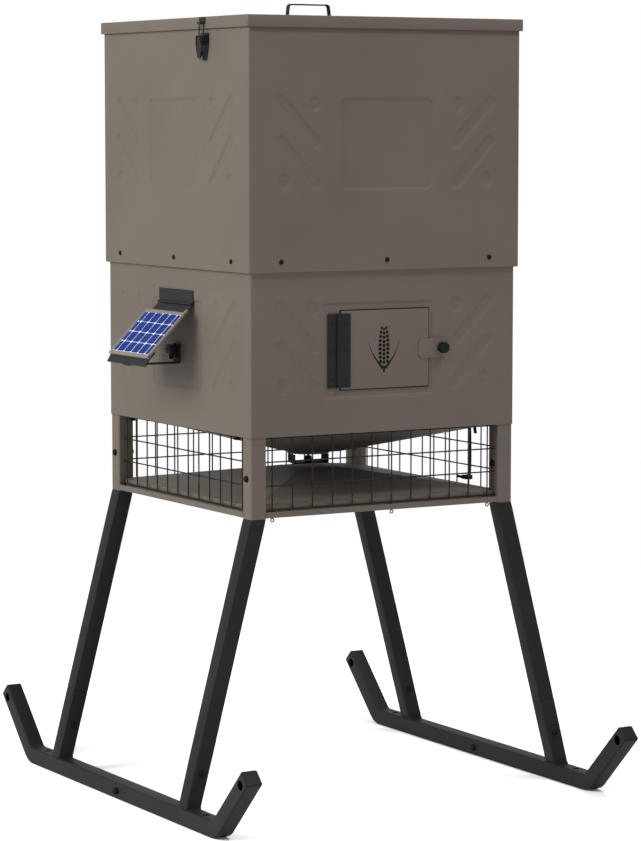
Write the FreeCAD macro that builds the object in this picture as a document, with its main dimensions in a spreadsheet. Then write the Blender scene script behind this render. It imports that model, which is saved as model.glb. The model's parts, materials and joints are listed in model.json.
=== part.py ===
import FreeCAD, Part
import Sketcher
import math
import os
import re

# Gravity feeder on skids: a square two-piece hopper with a lid, a control box and a
# motor-driven spinner, inside a wire-guarded cage on four splayed legs. Millimetres,
# +Z up, z = 0 is the ground under the skids, the origin is on the hopper's centre line.
# The control door faces -Y and the solar panel faces -X.

doc = FreeCAD.newDocument("field_feeder")
dims = doc.addObject("Spreadsheet::Sheet", "Dims")

SIZES = {
    # square steel tube of the frame
    "tube": 38.1, "wall": 2.0, "tube_round": 3.5, "spigot": 33.2, "spigot_long": 112.0,
    "bolt_hole": 8.6, "bolt_dia": 8.0, "bolt_head": 13.0, "bolt_head_thick": 5.3,
    "nut_thick": 6.5,
    # posts and legs
    "post_pitch": 638.8, "post_bottom": 659.8, "post_top": 905.0, "post_bolt_z": 748.0,
    "leg_slope": 0.262, "leg_joint_z": 194.0, "leg_bolt_z": 115.0, "leg_neck": 14.0,
    "leg_spigot_long": 100.0,
    # skids
    "skid_x": 482.3, "skid_flat": 471.8, "arm_reach": 140.0, "skid_joint_y": 70.0,
    "skid_bolt_y": 5.0, "skid_spigot_long": 105.0, "skid_bend": 55.0,
    "stake_y": 397.0, "stake_hole": 16.0, "tow_back": 21.0, "tow_hole": 22.0,
    "cap_thick": 3.0, "cap_plug": 14.0,
    # hopper shells
    "sheet": 2.0, "thin_sheet": 1.5, "corner": 5.0,
    "upper_width": 696.0, "upper_bottom": 1195.2, "upper_top": 1746.9, "hem": 14.0,
    "lower_width": 681.0, "lower_bottom": 837.3, "joggle_top": 1238.0, "fit_gap": 0.4,
    "nest_width": 691.2, "rim_width": 674.8,
    # stamped pattern, heights measured from the middle of each pattern
    "stamp_deep": 1.2, "upper_stamp_z": 1472.0, "lower_stamp_z": 1026.0,
    "stamp_wide": 236.0, "stamp_tall": 196.0, "stamp_round": 12.0,
    "slot_radius": 11.5, "dot_radius": 15.0,
    "slot_out": 268.0, "slot_in": 180.0, "slot_a_top": 93.0, "slot_a_low": 3.0,
    "slot_b_top": 6.0, "slot_b_low": -87.0, "dot_in_up": 87.0, "dot_out": 260.0,
    "dot_out_low": -80.0, "dot_in": 184.0,
    # shell screws
    "screw_z": 1218.2, "screw_pitch": 268.0, "screw_dia": 5.0, "screw_head": 11.0,
    "screw_head_thick": 3.0,
    # base pan, funnel and outlet
    "pan_z": 838.6, "pan_flange": 20.0, "pan_low_z": 764.0, "pan_flat": 104.0,
    "outlet_dia": 98.0, "outlet_wall": 3.0, "outlet_low_z": 759.5, "outlet_top_z": 774.0,
    "funnel_top_z": 1188.0, "funnel_low_z": 773.6, "funnel_low": 64.4, "funnel_rim": 8.0,
    "slope_wall": 1.8,
    # spinner drive
    "motor_dia": 46.0, "motor_long": 62.0, "motor_z": 795.0, "gear_dia": 34.0, "gear_long": 14.0,
    "strap_wide": 22.0, "strap_thick": 3.0, "shaft_dia": 6.0, "shaft_low_z": 733.6,
    "hub_dia": 16.0, "hub_z": 738.0, "hub_long": 14.0, "spin_long": 84.0,
    "spin_wide": 46.0, "spin_thick": 2.0, "spin_tall": 21.0, "shaft_gap": 0.05,
    # lid and handle
    "lid_width": 708.5, "lid_top": 1748.7, "lid_skirt": 25.9, "lid_corner": 6.0,
    "handle_long": 166.0, "handle_wide": 13.0, "handle_tall": 38.8, "handle_thick": 3.2,
    "handle_foot": 26.0, "handle_bend": 9.0,
    # lid hinges
    "lid_axis_x": 360.5, "lid_axis_z": 1714.0, "lid_pin": 5.0, "lid_barrel": 10.0,
    "lid_hinge_y": 210.0, "lid_hinge_wide": 76.0, "leaf": 2.0, "leaf_tall": 34.0,
    "axial_gap": 0.5, "run_gap": 0.08,
    # lid draw latch
    "latch_y": -152.0, "latch_wide": 37.0, "latch_low_z": 1654.0, "latch_top_z": 1714.0,
    "latch_axis_out": 10.0, "latch_axis_z": 1702.0, "latch_pin": 4.0, "latch_ear": 2.0,
    "latch_foot": 18.0, "staple_in": 16.0, "staple_z": 1670.0,
    "lever_low_z": 1660.0, "lever_wide": 28.0, "lever_tip": 12.0, "bail_in": 0.3,
    "bail_drop": 9.0, "cheek": 2.0, "skin_out": 5.0, "skin_thick": 1.6,
    "bail_wire": 2.6, "bail_notch": 18.0, "bail_wide": 19.6, "bail_top_z": 1736.4,
    "keeper_wide": 27.0, "keeper_low_z": 1733.0,
    "keeper_tall": 15.2, "tongue_wide": 13.0, "tongue_out": 10.5, "tongue_lip": 4.2,
    "pin_ring": 12.0, "pin_ring_wire": 2.0,
    # control door
    "door_left": -113.8, "door_right": 112.0, "door_low": 934.5, "door_high": 1107.7,
    "door_lap": 12.0, "frame_left": -155.0, "frame_right": 122.0, "frame_low": 918.0,
    "frame_high": 1124.0, "door_gap": 0.4, "hinge_x": -121.6, "hinge_low": 939.0,
    "hinge_high": 1102.0, "hinge_leaf_out": 25.2, "hinge_door_leaf": 30.8,
    "hinge_barrel": 7.0, "hinge_pin": 3.4,
    "tab_left": 85.0, "tab_right": 157.0, "tab_z": 1019.0, "tab_tall": 44.0,
    "tab_round": 12.0, "knob_x": 145.4, "knob_dia": 27.0, "knob_long": 17.0,
    "knob_shank": 6.0, "knob_shank_long": 9.0, "knob_hole": 10.0,
    # control box
    "box_left": -106.0, "box_right": 106.0, "box_low": 936.0, "box_high": 1101.0,
    "box_deep": 52.0, "box_wall": 2.0, "battery_wide": 70.0, "battery_deep": 46.0,
    "battery_tall": 100.0, "timer_wide": 96.0, "timer_tall": 66.0, "timer_deep": 28.0,
    "timer_z": 1022.0, "timer_x": 44.0, "button_dia": 9.0, "button_out": 3.0,
    "button_pitch": 20.0, "button_z": 1004.0, "display_wide": 52.0, "display_tall": 22.0,
    "display_z": 1034.0, "battery_x": -52.0,
    # solar panel
    "solar_y": 1.5, "solar_leaf_wide": 162.0, "solar_leaf_top": 1146.3, "solar_tilt": 45.0,
    "solar_sheet": 2.5, "panel_top_out": 27.5, "panel_top_z": 1099.0, "panel_long": 137.0,
    "panel_wide": 190.0, "panel_thick": 6.0, "panel_rim": 9.0, "rail_over": 9.0,
    "rail_round": 8.0, "glass_thick": 2.6, "brace_wide": 30.0, "brace_z": 979.5,
    "brace_leaf_top": 1024.0, "lip_tilt": 62.0, "lip_long": 17.0, "lip_strip": 24.0,
    "junction_wide": 29.0, "junction_tall": 20.0, "junction_deep": 16.0,
    "junction_y": 9.5, "junction_z": 1011.0,
    # cage
    "rail_low": 661.5, "rail_tall": 12.7, "rail_deep": 20.0, "rail_sheet": 2.0,
    "post_face": 338.5, "tray_half": 321.0, "tray_edge_z": 686.0, "tray_peak_z": 729.0,
    "tray_skirt": 22.4, "tray_flat": 92.0, "tray_rim_wide": 14.0, "wire": 3.2, "mesh": 50.8, "mesh_rise": 52.3, "guard_in": 11.5,
    "guard_low_z": 677.6, "guard_top_z": 834.6, "guard_reach": 300.0, "weld": 0.3,
    "eye_ring": 3.8, "eye_wire": 2.4, "eye_z": 659.4, "clip_size": 11.0, "clip_y": 254.0,
    "pivot_clip": 8.0, "pivot_clip_y": 203.2,
    # rubber strap latch on the right guard
    "strap_y": -152.4, "strap_x": 344.0, "strap_pin_z": 698.0, "strap_rubber": 4.5,
    "strap_width": 10.0, "strap_head": 24.0, "strap_head_tall": 8.0, "strap_head_thick": 6.0,
    "fork_z": 843.0, "fork_slot": 12.0, "fork_wide": 40.0, "fork_tall": 24.0,
    "fork_thick": 2.0, "fork_window": 28.0, "fork_window_tall": 14.0, "fork_reach": 9.0,
    "grip_out": 19.0, "grip_thick": 4.0, "grip_drop": 51.0, "strap_pin": 5.0,
    "strap_eye": 8.4, "anchor_wide": 56.0, "anchor_tall": 6.0,
}


def fill_sheet():
    """Put every driving dimension in the spreadsheet, one alias a row."""
    for row, (alias, number) in enumerate(SIZES.items(), start=1):
        dims.set("A%d" % row, alias)
        dims.set("B%d" % row, str(number))
        dims.setAlias("B%d" % row, alias)
    doc.recompute()


def expr(text):
    """Turn the names of driving dimensions in a formula into sheet references."""
    def refer(match):
        word = match.group(0)
        return "Dims." + word if word in SIZES else word
    return re.sub(r"[A-Za-z_][A-Za-z_0-9]*", refer, str(text))


def bind(item, **formulas):
    """Bind plain properties of an object to formulas."""
    for name, text in formulas.items():
        item.setExpression(name, expr(text))
    return item


def place(item, x="0", y="0", z="0", turn="0", axis=(0, 0, 1)):
    """Bind an object's Placement to formulas; turn is in degrees about axis."""
    item.Placement = FreeCAD.Placement(FreeCAD.Vector(), FreeCAD.Rotation(FreeCAD.Vector(*axis), 1))
    item.setExpression(".Placement.Rotation.Angle", expr(turn))
    item.setExpression(".Placement.Base.x", expr(x))
    item.setExpression(".Placement.Base.y", expr(y))
    item.setExpression(".Placement.Base.z", expr(z))
    return item


def label(item, name):
    """Name the finished sub-part; its label is also its file's name."""
    item.Label = name
    SUBPARTS.append(item)
    return item


SUBPARTS = []


# ---------------------------------------------------------------- sketches and features
def new_body(name):
    return doc.addObject("PartDesign::Body", name)


def sketch_on(body, role, offset="0"):
    """A sketch on one of the body's own origin planes, offset along its normal."""
    sketch = body.newObject("Sketcher::SketchObject", body.Name + "_sketch")
    plane = [item for item in body.Origin.OriginFeatures if item.Role == role][0]
    sketch.AttachmentSupport = [(plane, "")]
    sketch.MapMode = "FlatFace"
    sketch.setExpression(".AttachmentOffset.Base.z", expr(offset))
    return sketch


def pin_point(sketch, geometry, vertex, across, up):
    """Hold a sketch point at formulas measured from the sketch's origin."""
    for kind, text in (("DistanceX", across), ("DistanceY", up)):
        index = sketch.addConstraint(Sketcher.Constraint(kind, -1, 1, geometry, vertex, 1.0))
        sketch.setExpression("Constraints[%d]" % index, expr(text))


def outline(sketch, points):
    """A closed polygon whose corners are pairs of formulas."""
    count = len(points)
    first = sketch.GeometryCount
    spots = []
    for number in range(count):
        turn = 2 * math.pi * number / count
        spots.append(FreeCAD.Vector(100 * math.cos(turn), 100 * math.sin(turn), 0))
    for number in range(count):
        sketch.addGeometry(Part.LineSegment(spots[number], spots[(number + 1) % count]))
    for number in range(count):
        following = first + (number + 1) % count
        sketch.addConstraint(Sketcher.Constraint("Coincident", first + number, 2, following, 1))
    for number, (across, up) in enumerate(points):
        pin_point(sketch, first + number, 1, across, up)
    return sketch


def rectangle(sketch, left, low, right, high):
    return outline(sketch, [(left, low), (right, low), (right, high), (left, high)])


def centred(sketch, wide, tall, across="0", up="0"):
    """A rectangle of a given size about a middle point."""
    left, right = "%s - (%s) / 2" % (across, wide), "%s + (%s) / 2" % (across, wide)
    low, high = "%s - (%s) / 2" % (up, tall), "%s + (%s) / 2" % (up, tall)
    return rectangle(sketch, left, low, right, high)


def circle(sketch, radius, across="0", up="0"):
    index = sketch.addGeometry(Part.Circle(FreeCAD.Vector(1, 1, 0), FreeCAD.Vector(0, 0, 1), 5))
    size = sketch.addConstraint(Sketcher.Constraint("Radius", index, 5.0))
    sketch.setExpression("Constraints[%d]" % size, expr(radius))
    pin_point(sketch, index, 3, across, up)
    return sketch


def arc_outline(sketch, centres, radius, start_radius):
    """A convex outline of equal arcs about centres, given anticlockwise.

    Each centre is (x formula, y formula, x, y); the numbers only start the sketch near
    its solution.
    """
    normal = FreeCAD.Vector(0, 0, 1)
    count = len(centres)
    spots = [FreeCAD.Vector(centre[2], centre[3], 0) for centre in centres]
    headings = []
    for number in range(count):
        step = spots[(number + 1) % count] - spots[number]
        headings.append(math.atan2(step.y, step.x))
    first = sketch.GeometryCount
    for number in range(count):
        start = headings[number - 1] - math.pi / 2
        stop = headings[number] - math.pi / 2
        if stop < start:
            stop += 2 * math.pi
        ring = Part.Circle(spots[number], normal, start_radius)
        sketch.addGeometry(Part.ArcOfCircle(ring, start, stop))
    for number in range(count):
        away = headings[number] - math.pi / 2
        side = FreeCAD.Vector(math.cos(away), math.sin(away), 0) * start_radius
        following = (number + 1) % count
        sketch.addGeometry(Part.LineSegment(spots[number] + side, spots[following] + side))
        line = first + count + number
        sketch.addConstraint(Sketcher.Constraint("Tangent", first + number, 2, line, 1))
        sketch.addConstraint(Sketcher.Constraint("Tangent", line, 2, first + following, 1))
    size = sketch.addConstraint(Sketcher.Constraint("Radius", first, start_radius))
    sketch.setExpression("Constraints[%d]" % size, expr(radius))
    for number in range(1, count):
        sketch.addConstraint(Sketcher.Constraint("Equal", first, first + number))
    for number, centre in enumerate(centres):
        for kind, text, spot in (("DistanceX", centre[0], centre[2]),
                                 ("DistanceY", centre[1], centre[3])):
            index = sketch.addConstraint(Sketcher.Constraint(kind, -1, 1, first + number, 3, spot))
            sketch.setExpression("Constraints[%d]" % index, expr(text))
    return sketch


def rounded_square(sketch, wide, radius, inset="0", start_inset=0.0):
    """A square with rounded corners, inset evenly from a named width and radius."""
    half = "(%s / 2 - %s)" % (wide, radius)
    number = SIZES[wide] / 2 - SIZES[radius]
    centres = []
    for x_sign, y_sign in ((-1, -1), (1, -1), (1, 1), (-1, 1)):
        centres.append(("%d * %s" % (x_sign, half), "%d * %s" % (y_sign, half),
                        x_sign * number, y_sign * number))
    return arc_outline(sketch, centres, "%s - %s" % (radius, inset), SIZES[radius] - start_inset)


def pad(body, sketch, length, reverse=False):
    feature = body.newObject("PartDesign::Pad", body.Name + "_pad")
    feature.Profile = sketch
    feature.Reversed = reverse
    return bind(feature, Length=length)


def pocket(body, sketch, length=None, reverse=False):
    """Cut to a depth against the sketch's normal, or right through with no depth."""
    feature = body.newObject("PartDesign::Pocket", body.Name + "_pocket")
    feature.Profile = sketch
    feature.Reversed = reverse
    if length is None:
        feature.Type = 1
        feature.Midplane = True
        return feature
    return bind(feature, Length=length)


def around(body, features, count, angle=360):
    """Repeat features about the body's Z axis."""
    pattern = body.newObject("PartDesign::PolarPattern", body.Name + "_pattern")
    pattern.Originals = features
    axis = [item for item in body.Origin.OriginFeatures if item.Role == "Z_Axis"][0]
    pattern.Axis = (axis, [""])
    pattern.Angle = angle
    pattern.Occurrences = count
    body.Tip = pattern
    return pattern


# ---------------------------------------------------------------- plain solids
def box(name, low, high):
    """A box between two corners given as formulas."""
    item = doc.addObject("Part::Box", name)
    sizes = ["(%s) - (%s)" % (top, bottom) for bottom, top in zip(low, high)]
    bind(item, Length=sizes[0], Width=sizes[1], Height=sizes[2])
    return place(item, *low)


def rod(name, start, axis, radius, length):
    """A cylinder from a start point along X, Y or Z."""
    item = doc.addObject("Part::Cylinder", name)
    bind(item, Radius=radius, Height=length)
    turns = {"X": ("90", (0, 1, 0)), "Y": ("-90", (1, 0, 0)), "Z": ("0", (0, 0, 1))}
    turn, about = turns[axis]
    return place(item, start[0], start[1], start[2], turn, about)


def fuse(name, items):
    joined = doc.addObject("Part::MultiFuse", name)
    joined.Shapes = items
    joined.Refine = True
    return joined


def cut(name, base, tool):
    item = doc.addObject("Part::Cut", name)
    item.Base = base
    item.Tool = tool
    item.Refine = True
    return item


def common(name, base, tool):
    """The part of one solid that lies inside another."""
    shared = doc.addObject("Part::MultiCommon", name)
    shared.Shapes = [base, tool]
    return shared


def group(name, items):
    """Several identical loose solids that share one node."""
    item = doc.addObject("Part::Compound", name)
    item.Links = items
    return label(item, name)


# ---------------------------------------------------------------- legs, posts and skids
HALF = "tube / 2"
LEAN = "sqrt(1 + leg_slope ^ 2)"


def lean_point(down, across):
    """A point beside the leg's centre line, at a height and a square offset from it."""
    centre = "leg_slope * (post_bottom - (%s))" % down
    return ("%s + (%s) / %s" % (centre, across, LEAN),
            "(%s) + (%s) * leg_slope / %s" % (down, across, LEAN))


def level_point(height, across):
    """A point on the leg's side where a level cut meets it."""
    return ("leg_slope * (post_bottom - (%s)) + (%s) * %s" % (height, across, LEAN), height)


def corner_post(name, x, y, turn):
    body = new_body(name)
    ring = sketch_on(body, "XY_Plane", "post_bottom")
    rounded_square(ring, "tube", "tube_round")
    rounded_square(ring, "tube", "tube_round", "wall", SIZES["wall"])
    pad(body, ring, "post_top - post_bottom")
    doc.recompute()
    hole = sketch_on(body, "YZ_Plane")
    circle(hole, "bolt_hole / 2", "0", "post_bolt_z")
    pocket(body, hole)
    place(body, x, y, "0", turn)
    return label(body, name)


def leg(name, x, y, turn):
    """A splayed tube with a swaged spigot at each end, closed where the spigots start."""
    body = new_body(name)
    neck = "post_bottom - leg_neck"
    shape = sketch_on(body, "XZ_Plane", "-(%s)" % HALF)
    outline(shape, [("-tube / 2", "post_bottom"), ("tube / 2", "post_bottom"),
                    level_point(neck, HALF), lean_point("leg_joint_z", HALF),
                    lean_point("leg_joint_z", "-" + HALF), level_point(neck, "-" + HALF)])
    pad(body, shape, "tube")
    top = sketch_on(body, "XY_Plane", "post_bottom - wall")
    centred(top, "spigot", "spigot")
    pad(body, top, "spigot_long + wall")
    low = sketch_on(body, "XZ_Plane", "-spigot / 2")
    tip = "leg_joint_z - leg_spigot_long"
    outline(low, [lean_point("leg_joint_z + wall", "spigot / 2"), lean_point(tip, "spigot / 2"),
                  lean_point(tip, "-spigot / 2"), lean_point("leg_joint_z + wall", "-spigot / 2")])
    pad(body, low, "spigot")
    doc.recompute()
    inner = "(spigot / 2 - wall)"
    void = sketch_on(body, "XZ_Plane", inner)
    outline(void, [("-" + inner, "post_bottom + spigot_long + wall"),
                   (inner, "post_bottom + spigot_long + wall"),
                   (inner, "post_bottom"), level_point(neck, inner),
                   lean_point(tip + " - wall", inner), lean_point(tip + " - wall", "-" + inner),
                   level_point(neck, "-" + inner), ("-" + inner, "post_bottom")])
    pocket(body, void, "spigot - 2 * wall")
    wide = "(tube / 2 - wall)"
    bore = sketch_on(body, "XZ_Plane", wide)
    outline(bore, [level_point(neck, wide), lean_point("leg_joint_z + wall", wide),
                   lean_point("leg_joint_z + wall", "-" + wide), level_point(neck, "-" + wide)])
    pocket(body, bore, "tube - 2 * wall")
    post_hole = sketch_on(body, "YZ_Plane")
    circle(post_hole, "bolt_hole / 2", "0", "post_bolt_z")
    pocket(body, post_hole)
    stub_hole = sketch_on(body, "XZ_Plane")
    circle(stub_hole, "bolt_hole / 2", "leg_slope * (post_bottom - leg_bolt_z)", "leg_bolt_z")
    pocket(body, stub_hole)
    place(body, x, y, "0", turn)
    return label(body, name)


def skid_half(name, side, turn, has_spigot):
    """Half of a skid with its upturned arm and the stub that takes a leg.

    side is -1 for the half that runs towards -Y before it is turned into place.
    """
    body = new_body(name)
    end = "skid_flat + arm_reach"
    reach = "%d * " % side
    joint = "-skid_joint_y"
    shape = sketch_on(body, "YZ_Plane", "-(%s)" % HALF)
    outline(shape, [
        (joint, "0"), (reach + "skid_flat", "0"), (reach + "(%s)" % end, "arm_reach"),
        (reach + "(%s - tube / sqrt(2))" % end, "arm_reach + tube / sqrt(2)"),
        (reach + "(skid_flat - tube * (sqrt(2) - 1))", "tube"), (joint, "tube")])
    runner = pad(body, shape, "tube")
    doc.recompute()
    bend = body.newObject("PartDesign::Fillet", body.Name + "_bend")
    heel = [number for number, edge in enumerate(runner.Shape.Edges, start=1)
            if edge.CenterOfMass.z < 1 and abs(edge.CenterOfMass.x) < 1
            and abs(edge.CenterOfMass.y) > SIZES["skid_flat"] - 1]
    bend.Base = (runner, ["Edge%d" % heel[0]])
    bind(bend, Radius="skid_bend")
    stub_y = "(post_pitch / 2 - tube / 2)" if side < 0 else "-(post_pitch / 2 + tube / 2)"
    stub = sketch_on(body, "XZ_Plane", stub_y)
    shift = "(skid_x - post_pitch / 2)"

    def beside(point):
        return ("(%s) - %s" % (point[0], shift), point[1])

    outline(stub, [beside(level_point("tube - wall", HALF)), beside(lean_point("leg_joint_z", HALF)),
                   beside(lean_point("leg_joint_z", "-" + HALF)),
                   beside(level_point("tube - wall", "-" + HALF))])
    pad(body, stub, "tube")
    if has_spigot:
        tongue = sketch_on(body, "XZ_Plane", "skid_joint_y + wall")
        centred(tongue, "spigot", "spigot", "0", HALF)
        pad(body, tongue, "skid_spigot_long + wall", True)
    doc.recompute()
    bore = "(tube - 2 * wall)"
    hollow_end = joint
    if has_spigot:
        hollow_end = "-skid_joint_y - wall"
    void = sketch_on(body, "YZ_Plane", bore + " / 2")
    past = "(arm_reach + tube)"
    outline(void, [
        (hollow_end, "wall"), (reach + "(skid_flat - wall * (sqrt(2) - 1))", "wall"),
        (reach + "(skid_flat + %s - wall * sqrt(2))" % past, past),
        (reach + "(skid_flat + %s - (tube - wall) * sqrt(2))" % past, past),
        (reach + "(skid_flat - (tube - wall) * (sqrt(2) - 1))", "tube - wall"),
        (hollow_end, "tube - wall")])
    pocket(body, void, bore)
    if has_spigot:
        inside = sketch_on(body, "XZ_Plane", "skid_joint_y + 2 * wall")
        centred(inside, "spigot - 2 * wall", "spigot - 2 * wall", "0", HALF)
        pocket(body, inside, "skid_spigot_long + 3 * wall")
    stub_bore = sketch_on(body, "XZ_Plane", stub_y + " + tube - wall")
    half_bore = bore + " / 2"
    outline(stub_bore, [beside(level_point("tube", half_bore)),
                        beside(lean_point("leg_joint_z + 1", half_bore)),
                        beside(lean_point("leg_joint_z + 1", "-" + half_bore)),
                        beside(level_point("tube", "-" + half_bore))])
    pocket(body, stub_bore, bore)
    leg_hole = sketch_on(body, "XZ_Plane")
    circle(leg_hole, "bolt_hole / 2", "leg_slope * (post_bottom - leg_bolt_z) - " + shift, "leg_bolt_z")
    pocket(body, leg_hole)
    joint_hole = sketch_on(body, "YZ_Plane")
    circle(joint_hole, "bolt_hole / 2", "skid_bolt_y", HALF)
    tow_y = reach + "(skid_flat + arm_reach - tow_back / sqrt(2) - tube / (2 * sqrt(2)))"
    tow_z = "arm_reach - tow_back / sqrt(2) + tube / (2 * sqrt(2))"
    circle(joint_hole, "tow_hole / 2", tow_y, tow_z)
    pocket(body, joint_hole)
    stake = sketch_on(body, "XY_Plane")
    circle(stake, "stake_hole / 2", "0", reach + "stake_y")
    pocket(body, stake)
    place(body, "skid_x" if turn == "0" else "-skid_x", "0", "0", turn)
    return label(body, name)


def skid_cap(name, x_sign, y_sign):
    """A plastic plug and its flange on the end of an upturned arm."""
    flange = box(name + "_flange", ("-tube / 2", "0", "-tube / 2"),
                 ("tube / 2", "cap_thick", "tube / 2"))
    plug_half = "(tube / 2 - wall - 0.2)"
    plug = box(name + "_plug", ("-" + plug_half, "-cap_plug", "-" + plug_half),
               (plug_half, "0.5", plug_half))
    cap = fuse(name, [flange, plug])
    place(cap, "%d * skid_x" % x_sign,
          "%d * (skid_flat + arm_reach - tube / (2 * sqrt(2)))" % y_sign,
          "arm_reach + tube / (2 * sqrt(2))", "45" if y_sign > 0 else "135", (1, 0, 0))
    return cap


def bolt_set(name, spots, axis, grip):
    """Hex bolts and nuts; each spot is the middle of the grip and its head's side."""
    solids = []
    for number, (x, y, z, side) in enumerate(spots):
        bolt = doc.addObject("Part::Cylinder", name + "_shank%d" % number)
        bind(bolt, Radius="bolt_dia / 2", Height="%s + nut_thick + 2" % grip)
        place(bolt, "0", "0", "-(%s) / 2 - nut_thick - 2" % grip)
        head = doc.addObject("Part::Prism", name + "_head%d" % number)
        bind(head, Circumradius="bolt_head / sqrt(3)", Height="bolt_head_thick")
        place(head, "0", "0", "(%s) / 2" % grip)
        nut = doc.addObject("Part::Prism", name + "_nut%d" % number)
        bind(nut, Circumradius="bolt_head / sqrt(3)", Height="nut_thick")
        place(nut, "0", "0", "-(%s) / 2 - nut_thick" % grip)
        whole = fuse(name + "_bolt%d" % number, [bolt, head, nut])
        turn, about = {"X": (90 * side, (0, 1, 0)), "Y": (-90 * side, (1, 0, 0))}[axis]
        place(whole, x, y, z, str(turn), about)
        solids.append(whole)
    return solids


def frame_parts():
    corners = [("front_left", -1, -1), ("front_right", 1, -1),
               ("back_left", -1, 1), ("back_right", 1, 1)]
    leg_bolt_x = "(post_pitch / 2 + leg_slope * (post_bottom - leg_bolt_z))"
    post_spots = []
    leg_spots = []
    caps = []
    for where, x_sign, y_sign in corners:
        x, y = "%d * post_pitch / 2" % x_sign, "%d * post_pitch / 2" % y_sign
        turn = "0" if x_sign > 0 else "180"
        corner_post("corner_post_" + where, x, y, turn)
        leg("leg_" + where, x, y, turn)
        post_spots.append((x, y, "post_bolt_z", x_sign))
        leg_spots.append(("%d * %s" % (x_sign, leg_bolt_x), y, "leg_bolt_z", -1))
        caps.append(skid_cap("cap_" + where, x_sign, y_sign))
    skid_half("skid_front_right", -1, "0", True)
    skid_half("skid_back_right", 1, "0", False)
    skid_half("skid_back_left", -1, "180", True)
    skid_half("skid_front_left", 1, "180", False)
    group("skid_end_caps", caps)
    skid_spots = [("skid_x", "skid_bolt_y", HALF, -1), ("-skid_x", "-skid_bolt_y", HALF, 1)]
    bolts = bolt_set("post", post_spots, "X", "tube")
    bolts += bolt_set("leg", leg_spots, "Y", "tube")
    bolts += bolt_set("skid", skid_spots, "X", "tube")
    group("frame_bolts", bolts)


# ---------------------------------------------------------------- hopper
def square_band(body, wide, low, high):
    """A square ring of sheet with rounded corners between two heights."""
    ring = sketch_on(body, "XY_Plane", low)
    rounded_square(ring, wide, "corner")
    rounded_square(ring, wide, "corner", "sheet", SIZES["sheet"])
    return pad(body, ring, "(%s) - (%s)" % (high, low))


def stamp_side(body, wide, middle):
    """Press the slots, dots and square panel into one side, then all four."""
    sketch = sketch_on(body, "XZ_Plane", "%s / 2" % wide)
    for side in (-1, 1):
        slot(sketch, side, "slot_a_top", "slot_a_low", middle)
        slot(sketch, side, "slot_b_top", "slot_b_low", middle)
        circle(sketch, "dot_radius", "%d * dot_in" % side, "%s + dot_in_up" % middle)
        circle(sketch, "dot_radius", "%d * dot_out" % side, "%s + dot_out_low" % middle)
    centres = []
    for x_sign, z_sign in ((-1, -1), (1, -1), (1, 1), (-1, 1)):
        across = x_sign * (SIZES["stamp_wide"] / 2 - SIZES["stamp_round"])
        up = SIZES[middle] + z_sign * (SIZES["stamp_tall"] / 2 - SIZES["stamp_round"])
        centres.append(("%d * (stamp_wide / 2 - stamp_round)" % x_sign,
                        "%s + %d * (stamp_tall / 2 - stamp_round)" % (middle, z_sign), across, up))
    arc_outline(sketch, centres, "stamp_round", SIZES["stamp_round"])
    press = pocket(body, sketch, "stamp_deep")
    around(body, [press], 4)


def slot(sketch, side, outer_up, inner_up, middle):
    """A round-ended slot that slants down towards the middle of its side."""
    centres = []
    for across, up in (("slot_out", outer_up), ("slot_in", inner_up)):
        centres.append(("%d * %s" % (side, across), "%s + %s" % (middle, up),
                        side * SIZES[across], SIZES[middle] + SIZES[up]))
    arc_outline(sketch, centres, "slot_radius", SIZES["slot_radius"])


def screw_holes(body, role):
    """Clearance holes for the shell screws through the two walls across a plane."""
    sketch = sketch_on(body, role)
    for column in (-1, 0, 1):
        circle(sketch, "screw_dia / 2 + 0.2", "%d * screw_pitch" % column, "screw_z")
    pocket(body, sketch)


def upper_shell():
    body = new_body("upper_shell")
    square_band(body, "upper_width", "upper_bottom", "upper_top")
    hem = sketch_on(body, "XY_Plane", "upper_top - sheet")
    rounded_square(hem, "upper_width", "corner")
    centred(hem, "upper_width - 2 * hem", "upper_width - 2 * hem")
    pad(body, hem, "sheet")
    doc.recompute()
    screw_holes(body, "XZ_Plane")
    screw_holes(body, "YZ_Plane")
    stamp_side(body, "upper_width", "upper_stamp_z")
    return label(body, "upper_shell")


def lower_shell():
    """The narrower shell, stepped out at its top edge to nest inside the upper one."""
    body = new_body("lower_shell")
    square_band(body, "lower_width", "lower_bottom", "upper_bottom")
    step = sketch_on(body, "XY_Plane", "upper_bottom - sheet")
    rounded_square(step, "nest_width", "corner")
    rounded_square(step, "lower_width", "corner", "sheet", SIZES["sheet"])
    pad(body, step, "2 * sheet")
    square_band(body, "nest_width", "upper_bottom", "joggle_top")
    doc.recompute()
    screw_holes(body, "XZ_Plane")
    screw_holes(body, "YZ_Plane")
    stamp_side(body, "lower_width", "lower_stamp_z")
    doc.recompute()
    frame = sketch_on(body, "XZ_Plane", "lower_width / 2")
    rectangle(frame, "frame_left", "frame_low", "frame_right", "frame_high")
    pocket(body, frame, "stamp_deep")
    doorway = sketch_on(body, "XZ_Plane", "lower_width / 2")
    rectangle(doorway, "door_left + door_lap", "door_low + door_lap",
              "door_right - door_lap", "door_high - door_lap")
    circle(doorway, "knob_hole / 2", "knob_x", "tab_z")
    pocket(body, doorway, "3 * sheet")
    return label(body, "lower_shell")


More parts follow.
